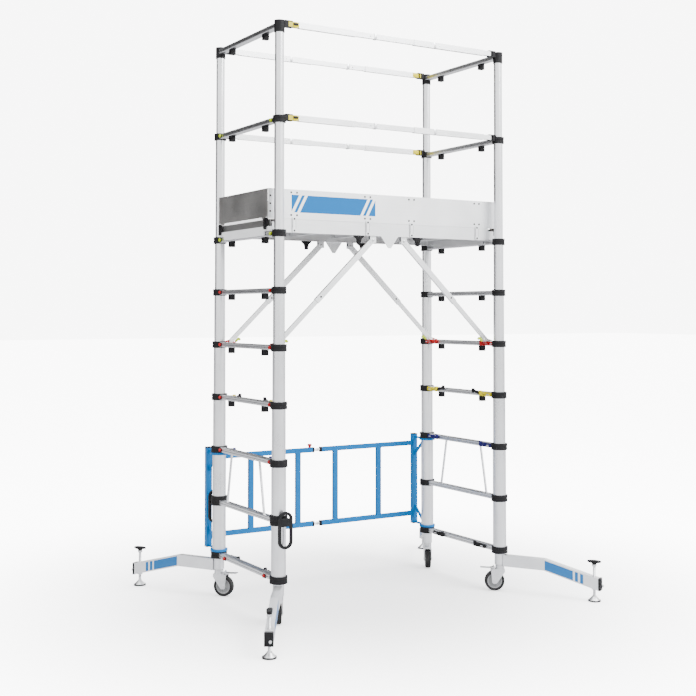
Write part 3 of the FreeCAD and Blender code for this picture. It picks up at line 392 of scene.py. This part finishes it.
def spun(shape, outline, steps):
    """A closed outline of (radius, height) points, spun into a ring about Z."""
    verts = [shape.verts.new((radius, 0, height)) for radius, height in outline]
    edges = [shape.edges.new(pair) for pair in zip(verts, verts[1:] + verts[:1])]
    bmesh.ops.spin(shape, geom=verts + edges, cent=(0, 0, 0), axis=(0, 0, 1), angle=math.tau, steps=steps,
                   use_merge=True)
    return linked(verts)


strut_metal = drawn_aluminium("strut_aluminium", (FINE, FINE, LONG * 3), roughness=0.36)
dress(strut_metal, "frame_struts")
dress(black_nylon, "carry_handles")
clamps = bmesh.new()
CLAMP_INSIDE, CLAMP_OUTSIDE, CLAMP_HALF, CLAMP_RIM = 0.0372, collar_radius(2), 0.008, 0.002
CLAMP = [(CLAMP_INSIDE, -CLAMP_HALF), (CLAMP_OUTSIDE - CLAMP_RIM, -CLAMP_HALF),
         (CLAMP_OUTSIDE, CLAMP_RIM - CLAMP_HALF), (CLAMP_OUTSIDE, CLAMP_HALF - CLAMP_RIM),
         (CLAMP_OUTSIDE - CLAMP_RIM, CLAMP_HALF), (CLAMP_INSIDE, CLAMP_HALF)]
for side in SIDES.values():
    ring = spun(clamps, CLAMP, 64)
    bmesh.ops.translate(clamps, verts=ring, vec=(-LENGTH / 2, side * WIDTH / 2, RUNG_HEIGHTS[2] + 0.025))
piece("handle_clamps", clamps, [black_nylon], "base", "black_moulding")


# ---- Base brace ----------------------------------------------------------------------------
# Welded steel tube panels, powder-coated blue, that fold flat about the hinges in the middle.
# The posts are plugged with black caps, and a red knob locks the upper hinge.

def powder_coat(name, colour, pale):
    """Baked powder paint: orange-peel surface, even colour, worn a little paler in places."""
    finish = Finish(name)
    peel = finish.noise(420.0, 2.0)
    wash = finish.noise(6.0, 3.0)
    worn = finish.clip(finish.noise(75.0, 9.0), 0.66, 0.72)
    coat = finish.blend(finish.clip(wash, 0.3, 0.7), colour, tuple(c * 1.12 for c in colour))
    return finish.surface(
        Base_Color=finish.blend(worn * 0.35, coat, pale),
        Roughness=wash * 0.10 + worn * 0.2 + 0.30,
        Specular_IOR_Level=0.15,
        Normal=finish.bump(peel, 0.00010, 0.35),
    )


blue_paint = powder_coat("blue_powder_coat", (0.000, 0.112, 0.325), (0.05, 0.27, 0.55))
dress(blue_paint, "base_brace_panels", "base_brace_posts")

BRACE_Y = WIDTH / 2 + 0.145
HINGE_HEIGHTS = (0.309, 0.748)
KNOB_X, KNOB_LOW = -0.048, 0.768
post_low, post_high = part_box("base_brace_posts")
caps = bmesh.new()
for end in ENDS.values():
    for height in (post_low.z, post_high.z):
        rounded_block(caps, (0.034, 0.034, 0.006), (end * LENGTH / 2, BRACE_Y, height), 0.0018)
piece("brace_post_caps", caps, [black_nylon], "base", "black_moulding")

zinc_finish = Finish("zinc_plated_steel")
spangle_sockets = {"Vector": zinc_finish.place(), "Scale": 260.0}
spangle = zinc_finish.add("ShaderNodeTexVoronoi", {}, spangle_sockets, "Distance")
stain = zinc_finish.noise(30.0, 5.0)
zinc = zinc_finish.surface(
    Base_Color=zinc_finish.blend(zinc_finish.clip(spangle * 0.5 + stain * 0.5, 0.2, 0.7),
                                 (0.56, 0.57, 0.59), (0.78, 0.79, 0.80)),
    Metallic=1.0,
    Roughness=stain * 0.22 + 0.24,
    Normal=zinc_finish.bump(spangle, 0.00006, 0.5),
)

hinges = bmesh.new()
for height in HINGE_HEIGHTS:
    for way in (-1, 1):
        sleeve = rounded_block(hinges, (0.012, 0.0225, 0.0305), (way * 0.026, BRACE_Y, height), 0.002)
        paint(hinges, sleeve, 1)
    stub(hinges, 0.0075, 0.046, (0, BRACE_Y, height), (1, 0, 0), rim=0.001)
    stub(hinges, 0.0100, 0.007, (0.004, BRACE_Y, height), (1, 0, 0), rim=0.002)
piece("brace_hinges", hinges, [zinc, black_nylon], "base", "zinc_steel")

knob = bmesh.new()
stub(knob, 0.008, 0.020, (KNOB_X, BRACE_Y, KNOB_LOW), (0, 0, 1), rim=0.001)
stub(knob, 0.013, 0.012, (KNOB_X, BRACE_Y, KNOB_LOW + 0.010), (0, 0, 1), rim=0.003, steps=28)
piece("brace_lock_knob", knob, [signal_red], "base", "red_moulding")


# ---- Castors -------------------------------------------------------------------------------
# Grey rubber tyres bonded to moulded hubs, running on bolts in pressed and zinc-plated forks.
# The brake is a pressed pedal over the wheel.

rubber_finish = Finish("wheel_rubber")
bloom = rubber_finish.noise(40.0, 4.0)
pores = rubber_finish.noise(900.0, 2.0)
dust = rubber_finish.clip(rubber_finish.noise(18.0, 6.0), 0.45, 0.75)
rubber = rubber_finish.surface(
    Base_Color=rubber_finish.blend(dust * 0.3, (0.011, 0.011, 0.012), (0.070, 0.068, 0.065)),
    Roughness=bloom * 0.2 + 0.55,
    Specular_IOR_Level=0.2,
    Normal=rubber_finish.bump(pores, 0.00010, 0.6),
)
hub_grey = moulding("hub_moulding", (0.20, 0.205, 0.21), (0.42, 0.42, 0.42), roughness=0.40)


def both_faces(half):
    """An outline from its half on one face of the wheel, mirrored for the other."""
    return half + [(radius, -height) for radius, height in reversed(half)]


TYRE = both_faces([(0.041, -0.0135), (0.046, -0.0150), (0.0525, -0.0158), (0.0553, -0.0135),
                   (0.0560, -0.0070)])
HUB = both_faces([(0.0054, -0.0150), (0.0135, -0.0150), (0.0150, -0.0135), (0.0165, -0.0065),
                  (0.0330, -0.0060), (0.0355, -0.0120), (0.0412, -0.0130)])
for side_name in SIDES:
    for end_name in ENDS:
        corner = f"{side_name}_{end_name}"
        joint = joints[f"wheel_{corner}_spin"]
        wheel = bmesh.new()
        spun(wheel, TYRE, 72)
        hub = spun(wheel, HUB, 72)
        paint(wheel, hub, 1)
        for rib in range(5):
            turn = Matrix.Rotation(rib * math.tau / 5, 3, "Z")
            web = rounded_block(wheel, (0.018, 0.004, 0.021), turn @ Vector((0.0245, 0, 0)), 0.0008, 1, turn)
            paint(wheel, web, 1)
        turn = Vector(joint["axis"]).to_track_quat("Z", "Y").to_matrix().to_4x4()
        bmesh.ops.transform(wheel, matrix=Matrix.Translation(joint["pos_m"]) @ turn, verts=wheel.verts)
        made = piece(f"wheel_{corner}", wheel, [rubber, hub_grey], f"wheel_{corner}", "wheel_rubber", 30)
        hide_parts(f"caster_wheel_{corner}")
        dress(zinc, f"caster_fork_{corner}", f"brake_pedal_{corner}")
dress(zinc, "caster_legs")


# ---- Outriggers ----------------------------------------------------------------------------
# Cranked box-section aluminium arms that swing round the castor legs. Each ends in a nylon plug
# and carries a screw jack with a T-shaped hand knob and a swivelling steel foot on rubber.

arm_metal = drawn_aluminium("outrigger_aluminium", (260.0, 260.0, FINE), light=(0.84, 0.85, 0.87),
                            roughness=0.34)
foot_finish = Finish("foot_steel_on_rubber")
RUBBER_TOP = 0.0085
is_rubber = foot_finish.along("Z") < RUBBER_TOP
foot_stain = foot_finish.noise(45.0, 5.0)
foot_grit = foot_finish.noise(800.0, 2.0)
bare_foot = foot_finish.blend(foot_stain, (0.58, 0.59, 0.60), (0.80, 0.80, 0.81))
foot_steel = foot_finish.surface(
    Base_Color=foot_finish.blend(is_rubber, bare_foot, (0.020, 0.020, 0.022)),
    Metallic=1 - is_rubber,
    Roughness=is_rubber * 0.35 + foot_stain * 0.2 + 0.26,
    Normal=foot_finish.bump(foot_grit, 0.00006, 0.5),
)

label_blue = (0.000, 0.112, 0.325)


def label_film(name, stripes):
    """Printed vinyl: blue with white bars. The stripes are given by a function of the finish."""
    finish = Finish(name)
    ripple = finish.noise(90.0, 3.0)
    white = stripes(finish)
    return finish.surface(
        Base_Color=finish.blend(white, label_blue, (0.88, 0.88, 0.87)),
        Roughness=ripple * 0.12 + 0.26,
        Specular_IOR_Level=0.15,
        Normal=finish.bump(ripple, 0.00004, 0.4),
    )


arm_film = label_film("outrigger_label_film", lambda finish: finish.noise(3.0) * 0.04)
ARM_HEIGHT, ARM_DEPTH, ARM_DROP = 0.140, 0.063, 0.078
ARM_BEND, ARM_REACH, JACK_REACH = 0.262, 0.566, 0.540
ARM_HALF_WIDTH = 0.020


def arm_middle(reach):
    """The height of the arm's centre line at a distance from the leg."""
    fall = max(reach - ARM_BEND, 0) / (ARM_REACH - ARM_BEND) * ARM_DROP
    return ARM_HEIGHT + ARM_DEPTH / 2 - fall


def prism(shape, outline, low, high):
    """A flat outline of (x, z) points made into a plate between two values of y."""
    face = shape.faces.new([shape.verts.new((x, low, z)) for x, z in outline])
    grown = bmesh.ops.extrude_face_region(shape, geom=[face])["geom"]
    verts = [item for item in grown if isinstance(item, bmesh.types.BMVert)]
    bmesh.ops.translate(shape, verts=verts, vec=(0, high - low, 0))
    return linked(verts)


def arm_band(shape, start, finish, side):
    """A printed bar across the arm's side face, following its slope."""
    half_height = 0.0255
    corners = ((start, -1), (finish, -1), (finish, 1), (start, 1))
    outline = [(reach, arm_middle(reach) + way * half_height) for reach, way in corners]
    face_y = side * ARM_HALF_WIDTH
    return prism(shape, outline, face_y - side * 0.0005, face_y + side * 0.0005)


THREAD_PITCH, THREAD_LOW, THREAD_HIGH, RIDGES = 0.004, 0.022, 0.209, 94
KNOB_HALF = 0.037
for side_name in SIDES:
    for end_name in ENDS:
        corner = f"{side_name}_{end_name}"
        leg = Vector(joints[f"outrigger_{corner}_swing"]["pos_m"])
        low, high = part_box(f"jack_foot_{corner}")
        foot = (low + high) / 2
        turn = Matrix.Rotation(math.atan2(foot.y - leg.y, foot.x - leg.x), 4, "Z")
        at_leg = Matrix.Translation((leg.x, leg.y, 0)) @ turn
        at_jack = at_leg @ Matrix.Translation((JACK_REACH, 0, 0))
        dress(arm_metal, f"outrigger_arm_{corner}")
        dress(foot_steel, f"jack_foot_{corner}")

        plug = bmesh.new()
        end_middle = arm_middle(ARM_REACH) + 0.001
        rounded_block(plug, (0.0135, 0.0440, 0.0680), (ARM_REACH + 0.0060, 0, end_middle), 0.003, 3)
        rounded_block(plug, (0.0030, 0.0300, 0.0500), (ARM_REACH + 0.0130, 0, end_middle), 0.001, 2)
        bolt_centre = (ARM_REACH + 0.0185, 0.008, end_middle - 0.009)
        bolt = stub(plug, 0.0075, 0.010, bolt_centre, (1, 0, 0), rim=0.0015, steps=6)
        paint(plug, bolt, 1)
        bmesh.ops.transform(plug, matrix=at_leg, verts=plug.verts)
        piece(f"outrigger_plug_{corner}", plug, [black_nylon, zinc], f"outrigger_{corner}", "black_moulding")

        label = bmesh.new()
        for face_side in (-1, 1):
            for start, finish in ((0.268, 0.427), (0.438, 0.455), (0.467, 0.484)):
                arm_band(label, start, finish, face_side)
        bmesh.ops.transform(label, matrix=at_leg, verts=label.verts)
        piece(f"outrigger_label_{corner}", label, [arm_film], f"outrigger_{corner}", "label_film")

        spindle = bmesh.new()
        thread = [(0.0080 if ridge % 2 else 0.0068, THREAD_LOW + ridge * THREAD_PITCH / 2)
                  for ridge in range(RIDGES)]
        spun(spindle, [(0.004, THREAD_LOW), *thread, (0.004, THREAD_HIGH)], 24)
        stub(spindle, 0.0115, 0.010, (0, 0, 0.026), (0, 0, 1), rim=0.002, steps=24)
        stub(spindle, 0.0125, 0.012, (0, 0, 0.194), (0, 0, 1), rim=0.001, steps=6)
        bmesh.ops.transform(spindle, matrix=at_jack, verts=spindle.verts)
        made = piece(f"jack_spindle_{corner}", spindle, [zinc], f"jack_{corner}", "zinc_steel")
        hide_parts(f"jack_screw_{corner}")

        grip = bmesh.new()
        bar = bmesh.ops.create_cube(grip, size=1.0)["verts"]
        bmesh.ops.scale(grip, vec=(2 * KNOB_HALF, 0.030, 0.013), verts=bar)
        bmesh.ops.subdivide_edges(grip, edges=grip.edges, cuts=3, use_grid_fill=True)
        for vert in grip.verts:
            out = abs(vert.co.x) / KNOB_HALF
            vert.co.z = vert.co.z * (1.15 - 0.55 * out ** 2) + 0.0015 * out ** 2
            vert.co.y *= 1.0 - 0.45 * out ** 2
        round_over(grip, list(grip.edges), 0.0012, 1)
        bmesh.ops.translate(grip, verts=grip.verts, vec=(0, 0, 0.2135))
        stub(grip, 0.0125, 0.012, (0, 0, 0.2035), (0, 0, 1), rim=0.002, steps=24)
        bmesh.ops.transform(grip, matrix=at_jack, verts=grip.verts)
        piece(f"jack_knob_{corner}", grip, [black_nylon], f"jack_{corner}", "black_moulding", 50)


# ---- Platform frame ------------------------------------------------------------------------
# Aluminium side beams and toe boards riveted through straps, with hooks over the rungs. Black
# stacked knuckles at the corners are where the end toe boards hinge.

beam_metal = drawn_aluminium("platform_aluminium", (LONG, FINE, FINE), light=(0.88, 0.89, 0.90),
                             dark=(0.76, 0.77, 0.78), roughness=0.36)
# The end toe boards are drawn aluminium in a dark grey: painted shade of ends that face away from the key
# light.
end_board_painted_shade = drawn_aluminium("end_board_aluminium_painted_shade", (FINE, LONG, FINE), light=(0.46, 0.45, 0.44),
                                dark=(0.38, 0.375, 0.37), roughness=0.36)
dress(beam_metal, "side_toe_boards")

frame_finish = Finish("deck_frame_metal")
END_FACE, HOOK_TOP = 0.7232, 2.0088
past_end = frame_finish.magnitude(frame_finish.along("X")) > END_FACE
# Past the end faces, the fascia above the hooks is painted dark grey: painted shade of the recess under the
# end toe boards.
fascia_painted_shade = past_end * (frame_finish.along("Z") > HOOK_TOP)
is_hook = past_end * (frame_finish.along("Z") < HOOK_TOP)
frame_lines = frame_finish.noise(1.0, 5.0, (LONG, FINE, FINE))
frame_clouds = frame_finish.noise(7.0, 4.0)
frame_tone = frame_finish.clip(frame_lines * 0.6 + frame_clouds * 0.4, 0.25, 0.75)
bare_frame = frame_finish.blend(frame_tone, (0.74, 0.75, 0.76), (0.87, 0.88, 0.89))
frame_metal = frame_finish.surface(
    Base_Color=frame_finish.blend(fascia_painted_shade, bare_frame, (0.42, 0.415, 0.41)),
    Metallic=1.0 - is_hook,
    Roughness=frame_clouds * 0.12 + frame_lines * 0.08 + 0.32,
    Normal=frame_finish.bump(frame_lines, 0.00012, 0.5),
)
dress(frame_metal, "deck_frame")
dress(end_board_painted_shade, "end_toe_board_left", "end_toe_board_right")
dress(black_nylon, "platform_fittings")

board_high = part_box("side_toe_boards")[1]
LABEL_LEFT, LABEL_RIGHT, LABEL_LOW, LABEL_HIGH = -0.605, -0.093, 2.085, 2.175


def slanted_bars(finish):
    """Two white bars at each end of the label, leaning over."""
    leaning = finish.along("X") - (finish.along("Z") - (LABEL_LOW + LABEL_HIGH) / 2) * 0.52
    bars = 0
    for centre in (LABEL_LEFT + 0.030, LABEL_LEFT + 0.064, LABEL_RIGHT - 0.064, LABEL_RIGHT - 0.030):
        bars = finish.between(leaning, centre - 0.0085, centre + 0.0085) + bars
    return bars


board_film = label_film("toe_board_label_film", slanted_bars)
for side_name, side in SIDES.items():
    label = bmesh.new()
    face_y = side * (board_high.y - 0.004)
    middle = ((LABEL_LEFT + LABEL_RIGHT) / 2, face_y, (LABEL_LOW + LABEL_HIGH) / 2)
    rounded_block(label, (LABEL_RIGHT - LABEL_LEFT, 0.0012, LABEL_HIGH - LABEL_LOW), middle, 0.0004, 1)
    piece(f"toe_board_label_{side_name}", label, [board_film], "platform", "label_film")

# The rivet heads and the slot marks beside the straps are painted near black: painted shade.
painted_shade_rivets = moulding("rivets_and_slots_painted_shade", (0.010, 0.010, 0.011), (0.10, 0.10, 0.10), sheen=0.15)


def rivet(shape, x, face_y, height, side):
    """A domed rivet head on an outer face of the platform."""
    stub(shape, 0.0052, 0.0030, (x, face_y + side * 0.0006, height), (0, side, 0), rim=0.0012, steps=10)


rivets = bmesh.new()
STRAPS, STRAP_MIDDLE, BOARD_END = (0.142, 0.590), 2.022, 0.728
for side in SIDES.values():
    board_y, strap_y = side * (board_high.y - 0.004), side * board_high.y
    for end in ENDS.values():
        for strap in STRAPS:
            # Thin near-black plates on either side of each strap stand for the shade inside the strap slots:
            # painted shade.
            for edge in (-0.0085, 0.0085):
                slot_centre = (end * strap + edge, strap_y, STRAP_MIDDLE)
                rounded_block(rivets, (0.0014, 0.0010, 0.046), slot_centre, 0.0003, 1)
            for height in (1.990, 2.050):
                rivet(rivets, end * strap, strap_y, height, side)
            for offset in (-0.017, 0.017):
                for height in (2.070, 2.187):
                    rivet(rivets, end * strap + offset, board_y, height, side)
    for end in ENDS.values():
        for height in (2.085, 2.125, 2.165):
            rivet(rivets, end * BOARD_END, board_y, height, side)
piece("platform_rivets", rivets, [painted_shade_rivets], "platform", "black_moulding")

beads = bmesh.new()
BEAD_SIZE, BEAD_PITCH, LOWEST_BEAD = (0.009, 0.0150, 0.0150), 0.0135, 2.001
tilt = Matrix.Rotation(math.radians(45), 3, "X")
for end in ENDS.values():
    for side in SIDES.values():
        for step in range(4):
            bead_centre = (end * 0.7465, side * 0.272, LOWEST_BEAD + step * BEAD_PITCH)
            rounded_block(beads, BEAD_SIZE, bead_centre, 0.002, 2, tilt)
        rounded_block(beads, (0.009, 0.012, 0.058), (end * 0.7420, side * 0.272, 2.022), 0.001)
piece("toe_board_hinge_beads", beads, [black_nylon], "platform", "black_moulding")


# ---- Storage catches -----------------------------------------------------------------------
# Black nylon catches under each side beam hold the diagonal braces when they are folded away.

catches = bmesh.new()
for side in SIDES.values():
    y = side * 0.2885
    for end in ENDS.values():
        x = end * 0.190
        half = [(0.030, 1.981), (0.030, 1.974), (0.014, 1.962), (0.009, 1.945), (0.009, 1.932)]
        outline = [(x - out, height) for out, height in half]
        outline += [(x + out, height) for out, height in reversed(half)]
        made = prism(catches, outline, y - 0.009, y + 0.009)
        round_over(catches, edges_of(made), 0.0015)
        stub(catches, 0.006, 0.024, (x, y, 1.956), (0, 1, 0), rim=0.001, steps=16)
piece("brace_storage_catches", catches, [black_nylon], "platform", "black_moulding")


# ---- Deck and hatch ------------------------------------------------------------------------
# Birch plywood faced with a dark phenolic film that is pressed with a grip mesh. The edges show their plies,
# painted near black as painted shade, and the hatch has a flush lifting grip near its free edge.

deck_finish = Finish("film_faced_plywood")
cells = {"Vector": deck_finish.place((1, 1, 0.01)), "Scale": 190.0, "Randomness": 0.12}
mesh_cells = deck_finish.add("ShaderNodeTexVoronoi", {"feature": "DISTANCE_TO_EDGE"}, cells, "Distance")
ridges = deck_finish.clip(mesh_cells, 0.02, 0.14)
bands = {"Vector": deck_finish.place(), "Scale": 190.0, "Distortion": 1.0, "Detail": 2.0}
plies = deck_finish.add("ShaderNodeTexWave", {"bands_direction": "Z"}, bands, "Fac")
is_edge = deck_finish.between(deck_finish.along("Z"), 2.0335, 2.0444)
scuffed = deck_finish.clip(deck_finish.noise(9.0, 8.0), 0.50, 0.72)
film = deck_finish.blend(scuffed * 0.5, (0.055, 0.034, 0.022), (0.15, 0.12, 0.10))
# The edge band shows its plies in near black: painted shade of the recessed deck edge.
edge_plies_painted_shade = deck_finish.blend(plies, (0.012, 0.011, 0.010), (0.026, 0.023, 0.020))
plywood = deck_finish.surface(
    Base_Color=deck_finish.blend(is_edge, film, edge_plies_painted_shade),
    Roughness=scuffed * 0.2 + is_edge * 0.15 + 0.45,
    Normal=deck_finish.bump(ridges, 0.0006, 0.5),
)
dress(plywood, "deck_panel", "hatch")

hatch_low, hatch_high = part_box("hatch")
deck_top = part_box("deck_panel")[1].z
grip_x, grip_y = (hatch_low.x + hatch_high.x) / 2, hatch_low.y + 0.045
grip = bmesh.new()
rounded_block(grip, (0.110, 0.046, 0.0030), (grip_x, grip_y, deck_top + 0.0014), 0.0010, 2)
handle = rounded_block(grip, (0.078, 0.014, 0.0050), (grip_x, grip_y, deck_top + 0.0034), 0.0018, 3)
paint(grip, handle, 1)
for x in (grip_x - 0.047, grip_x + 0.047):
    screw = stub(grip, 0.0042, 0.0020, (x, grip_y, deck_top + 0.0034), (0, 0, 1), rim=0.0006, steps=12)
    paint(grip, screw, 1)
piece("hatch_grip", grip, [black_nylon, zinc], "hatch", "black_moulding")


# ---- Diagonal braces -----------------------------------------------------------------------
# Two-part telescopic braces of rectangular aluminium tube, pinned under the beams and hooked
# over the fifth rungs by a red claw with a lime lever on its underside. A spring button shows
# near the lower end of each outer tube.

brace_metal = drawn_aluminium("brace_aluminium", (240.0, 240.0, 240.0), light=(0.88, 0.89, 0.90),
                              dark=(0.76, 0.77, 0.78), roughness=0.34)
dress(brace_metal, "brace_outer_tubes")

claw_finish = Finish("brace_tube_with_red_claw")
CLAW_START, CLAW_TOP = 0.686, 1.403
past_tube = claw_finish.magnitude(claw_finish.along("X")) > CLAW_START
is_claw = claw_finish.clip(past_tube + (claw_finish.along("Z") < CLAW_TOP), 0.0, 1.0)
claw_lines = claw_finish.noise(240.0, 4.0)
claw_clouds = claw_finish.noise(8.0, 4.0)
bare_tube = claw_finish.blend(claw_clouds, (0.78, 0.79, 0.80), (0.88, 0.89, 0.90))
claw_metal = claw_finish.surface(
    Base_Color=claw_finish.blend(is_claw, bare_tube, (0.30, 0.002, 0.004)),
    Metallic=1.0 - is_claw,
    Roughness=claw_clouds * 0.14 + claw_lines * 0.06 + 0.28,
    Normal=claw_finish.bump(claw_lines, 0.00010, 0.5),
)


def brace_pivot(end, side):
    """The middle of the bolt that a brace hangs from."""
    return Vector((end * 0.100, side * 0.280, 1.958))


fittings = bmesh.new()
BUTTON_DROP, TUBE_LENGTH = 0.445, 0.760
for end_name, end in ENDS.items():
    for side_name, side in SIDES.items():
        down = -Vector(joints[f"brace_inner_{side_name}_{end_name}_slide"]["axis"])
        pivot = brace_pivot(end, side)
        for face in (-1, 1):
            centre = pivot + down * BUTTON_DROP + Vector((0, face * 0.0080, 0))
            button = stub(fittings, 0.0050, 0.0040, centre, (0, face, 0), rim=0.0014, steps=16)
            paint(fittings, button, 1)
            bolt_centre = pivot + Vector((0, face * 0.0135, 0))
            stub(fittings, 0.0075, 0.0050, bolt_centre, (0, face, 0), rim=0.0010, steps=6)
piece("brace_buttons_and_bolts", fittings, [zinc, black_nylon], "platform", "zinc_steel")

for side_name, side in SIDES.items():
    for end_name, end in ENDS.items():
        name = f"brace_inner_{side_name}_{end_name}"
        dress(claw_metal, name)
        down = -Vector(joints[f"{name}_slide"]["axis"])
        below = -Vector((end * abs(down.z), 0, abs(down.x)))
        lever = bmesh.new()
        tube_end = brace_pivot(end, side) + down * TUBE_LENGTH
        lean = Matrix.Rotation(math.atan2(-down.z, down.x * end) * end, 3, "Y")
        rounded_block(lever, (0.030, 0.012, 0.012), tube_end + below * 0.022, 0.003, 2, lean)
        rounded_block(lever, (0.012, 0.016, 0.016), tube_end + below * 0.028 - down * 0.012, 0.004, 2, lean)
        piece(f"brace_lever_{side_name}_{end_name}", lever, [lime], name, "lime_moulding")


# ---- Guard rails ---------------------------------------------------------------------------
# Telescopic aluminium rails hinged on pins beside the stiles. The free end of each has a yellow
# snap latch, and metal sleeves sit where the tubes slide in one another.

RAIL_RISE, PIN_INSET, LATCH_START = 0.012, 0.060, 0.609


def rail_metal(name, latch_end):
    """Drawn aluminium that turns to yellow plastic at the latch end."""
    finish = Finish(name)
    lines = finish.noise(1.0, 5.0, (LONG, FINE, FINE))
    clouds = finish.noise(7.0, 4.0)
    plastic = (finish.along("X") * latch_end) > LATCH_START
    tone = finish.clip(lines * 0.6 + clouds * 0.4, 0.25, 0.75)
    bare = finish.blend(tone, (0.76, 0.77, 0.78), (0.88, 0.89, 0.90))
    return finish.surface(
        Base_Color=finish.blend(plastic, bare, (0.52, 0.44, 0.002)),
        Metallic=1.0 - plastic,
        Roughness=clouds * 0.12 + lines * 0.08 + 0.28,
        Normal=finish.bump(lines, 0.00012, 0.5),
    )


for side_name, side in SIDES.items():
    rail_finish = rail_metal(f"guard_rail_{side_name}_aluminium", side)
    for level, number in (("mid", 8), ("top", 9)):
        name = f"guard_rail_{side_name}_{level}"
        dress(rail_finish, name)
        hinge_end = -side
        y, height = side * WIDTH / 2, RUNG_HEIGHTS[number] + RAIL_RISE
        clip_x = -hinge_end * (LENGTH / 2 - PIN_INSET)
        latch = bmesh.new()
        cheek_x = clip_x + hinge_end * 0.031
        for face in (-1, 1):
            rounded_block(latch, (0.034, 0.0020, 0.0240), (cheek_x, y + face * 0.0106, height), 0.0008)
            rounded_block(latch, (0.034, 0.0190, 0.0020), (cheek_x, y, height + face * 0.0136), 0.0008)
        lever_centre = (clip_x + hinge_end * 0.028, y + side * 0.0128, height + 0.002)
        lever = rounded_block(latch, (0.026, 0.0030, 0.0130), lever_centre, 0.0012)
        head_centre = (clip_x + hinge_end * 0.040, y + side * 0.0146, height + 0.002)
        head = stub(latch, 0.0032, 0.0020, head_centre, (0, side, 0), rim=0.0006, steps=12)
        paint(latch, lever, 1)
        paint(latch, head, 1)
        piece(f"rail_latch_{side_name}_{level}", latch, [yellow, black_nylon], name, "yellow_moulding")
        joints_made = bmesh.new()
        for start, way in ((0.250, 1), (0.120, -1)):
            collar_x, inward = hinge_end * start * way, hinge_end * way
            collar_centre = (collar_x + inward * 0.009, y, height)
            rounded_block(joints_made, (0.016, 0.0214, 0.0324), collar_centre, 0.0016)
            for face in (-1, 1):
                head_centre = (collar_x + inward * 0.040, y + face * 0.0104, height)
                stub(joints_made, 0.0032, 0.0018, head_centre, (0, face, 0), rim=0.0006, steps=10)
        piece(f"rail_joints_{side_name}_{level}", joints_made, [zinc], name, "zinc_steel")


# ---- Floor, light and camera ---------------------------------------------------------------
# A white studio whose floor runs out of sight into the backdrop. The floor glows for the camera only, as
# painted light near the ladder, and shows dark grey to all other rays, as painted shade on the ladder's
# undersides. Broad soft light comes from the front and above, and a dark flag behind draws the edges of the
# bright metal.

BACKDROP = 8.0
floor = bmesh.new()
bmesh.ops.create_grid(floor, x_segments=2, y_segments=2, size=60.0)
floor_mesh = bpy.data.meshes.new("studio_floor")
floor.to_mesh(floor_mesh)
floor.free()
floor_finish = Finish("studio_floor_painted_light")
floor_wash = floor_finish.noise(0.6, 2.0)
reach = floor_finish.add("ShaderNodeVectorMath", {"operation": "LENGTH"}, {0: floor_finish.place()}, "Value")
seen = floor_finish.add("ShaderNodeLightPath", {}, {}, "Is Camera Ray")
# The floor glows for camera rays only. Beyond about 3 m it matches the white backdrop; nearer the ladder the
# glow is painted light that lifts the floor and the shadows on it.
camera_only_glow = floor_finish.add("ShaderNodeMapRange", {"interpolation_type": "SMOOTHERSTEP"},
                        {"Value": reach, "From Min": 0.1, "From Max": 3.4, "To Min": 0.5, "To Max": BACKDROP})
# To every ray but the camera's the floor shows dark grey, so it bounces and reflects less light onto the
# ladder: painted shade on the ladder's undersides.
floor_mesh.materials.append(floor_finish.surface(
    Base_Color=floor_finish.blend(seen, (0.42, 0.42, 0.43),
                                  floor_finish.blend(floor_wash, (0.88, 0.88, 0.89), (0.90, 0.90, 0.90))),
    Roughness=0.65, Specular_IOR_Level=0.2,
    Emission_Color=(1.0, 1.0, 1.0, 1.0), Emission_Strength=camera_only_glow * seen))
studio_floor = bpy.data.objects.new("studio_floor", floor_mesh)
bpy.context.scene.collection.objects.link(studio_floor)


def soft_light(name, place, target, size, power):
    """A square area light that faces a point."""
    lamp = bpy.data.lights.new(name, "AREA")
    lamp.size = size
    lamp.energy = power
    lit = bpy.data.objects.new(name, lamp)
    lit.location = place
    lit.rotation_euler = (Vector(target) - Vector(place)).to_track_quat("-Z", "Y").to_euler()
    bpy.context.scene.collection.objects.link(lit)


soft_light("key_light", (3.0, -6.0, 7.5), (0, 0, 1.4), 5.0, 1350)
soft_light("top_light", (0.5, 1.0, 9.0), (0, 0, 1.0), 6.0, 950)

world = bpy.data.worlds.new("studio")
bpy.context.scene.world = world
world.use_nodes = True
sky, links = world.node_tree.nodes, world.node_tree.links
direction = sky.new("ShaderNodeTexCoord")
towards_flag = sky.new("ShaderNodeVectorMath")
towards_flag.operation = "DOT_PRODUCT"
towards_flag.inputs[1].default_value = (-0.225, 0.974, 0)
links.new(direction.outputs["Generated"], towards_flag.inputs[0])
spread = sky.new("ShaderNodeMapRange")
spread.interpolation_type = "SMOOTHSTEP"
spread.inputs["From Min"].default_value = 0.38
spread.inputs["From Max"].default_value = 0.70
spread.inputs["To Min"].default_value = 2.6
spread.inputs["To Max"].default_value = 0.03
links.new(towards_flag.outputs["Value"], spread.inputs["Value"])
view = sky.new("ShaderNodeLightPath")
brightness = sky.new("ShaderNodeMix")
brightness.inputs["B"].default_value = BACKDROP
links.new(view.outputs["Is Camera Ray"], brightness.inputs["Factor"])
links.new(spread.outputs[0], brightness.inputs["A"])
links.new(brightness.outputs["Result"], sky["Background"].inputs["Strength"])
sky["Background"].inputs["Color"].default_value = (1.0, 1.0, 1.0, 1)

camera_data = bpy.data.cameras.new("camera")
camera_data.sensor_width = 36
camera_data.lens = 59.0586
camera_data.shift_y = -0.100575
camera = bpy.data.objects.new("camera", camera_data)
camera.location = (-3.392, -5.475, 1.567)
azimuth, elevation = math.radians(-31.15), math.radians(-1.74)
backward = Vector((math.sin(azimuth) * math.cos(elevation), -math.cos(azimuth) * math.cos(elevation),
                   math.sin(elevation)))
camera.rotation_mode = "QUATERNION"
camera.rotation_quaternion = (-backward).to_track_quat("-Z", "Y")
bpy.context.scene.collection.objects.link(camera)
bpy.context.scene.camera = camera
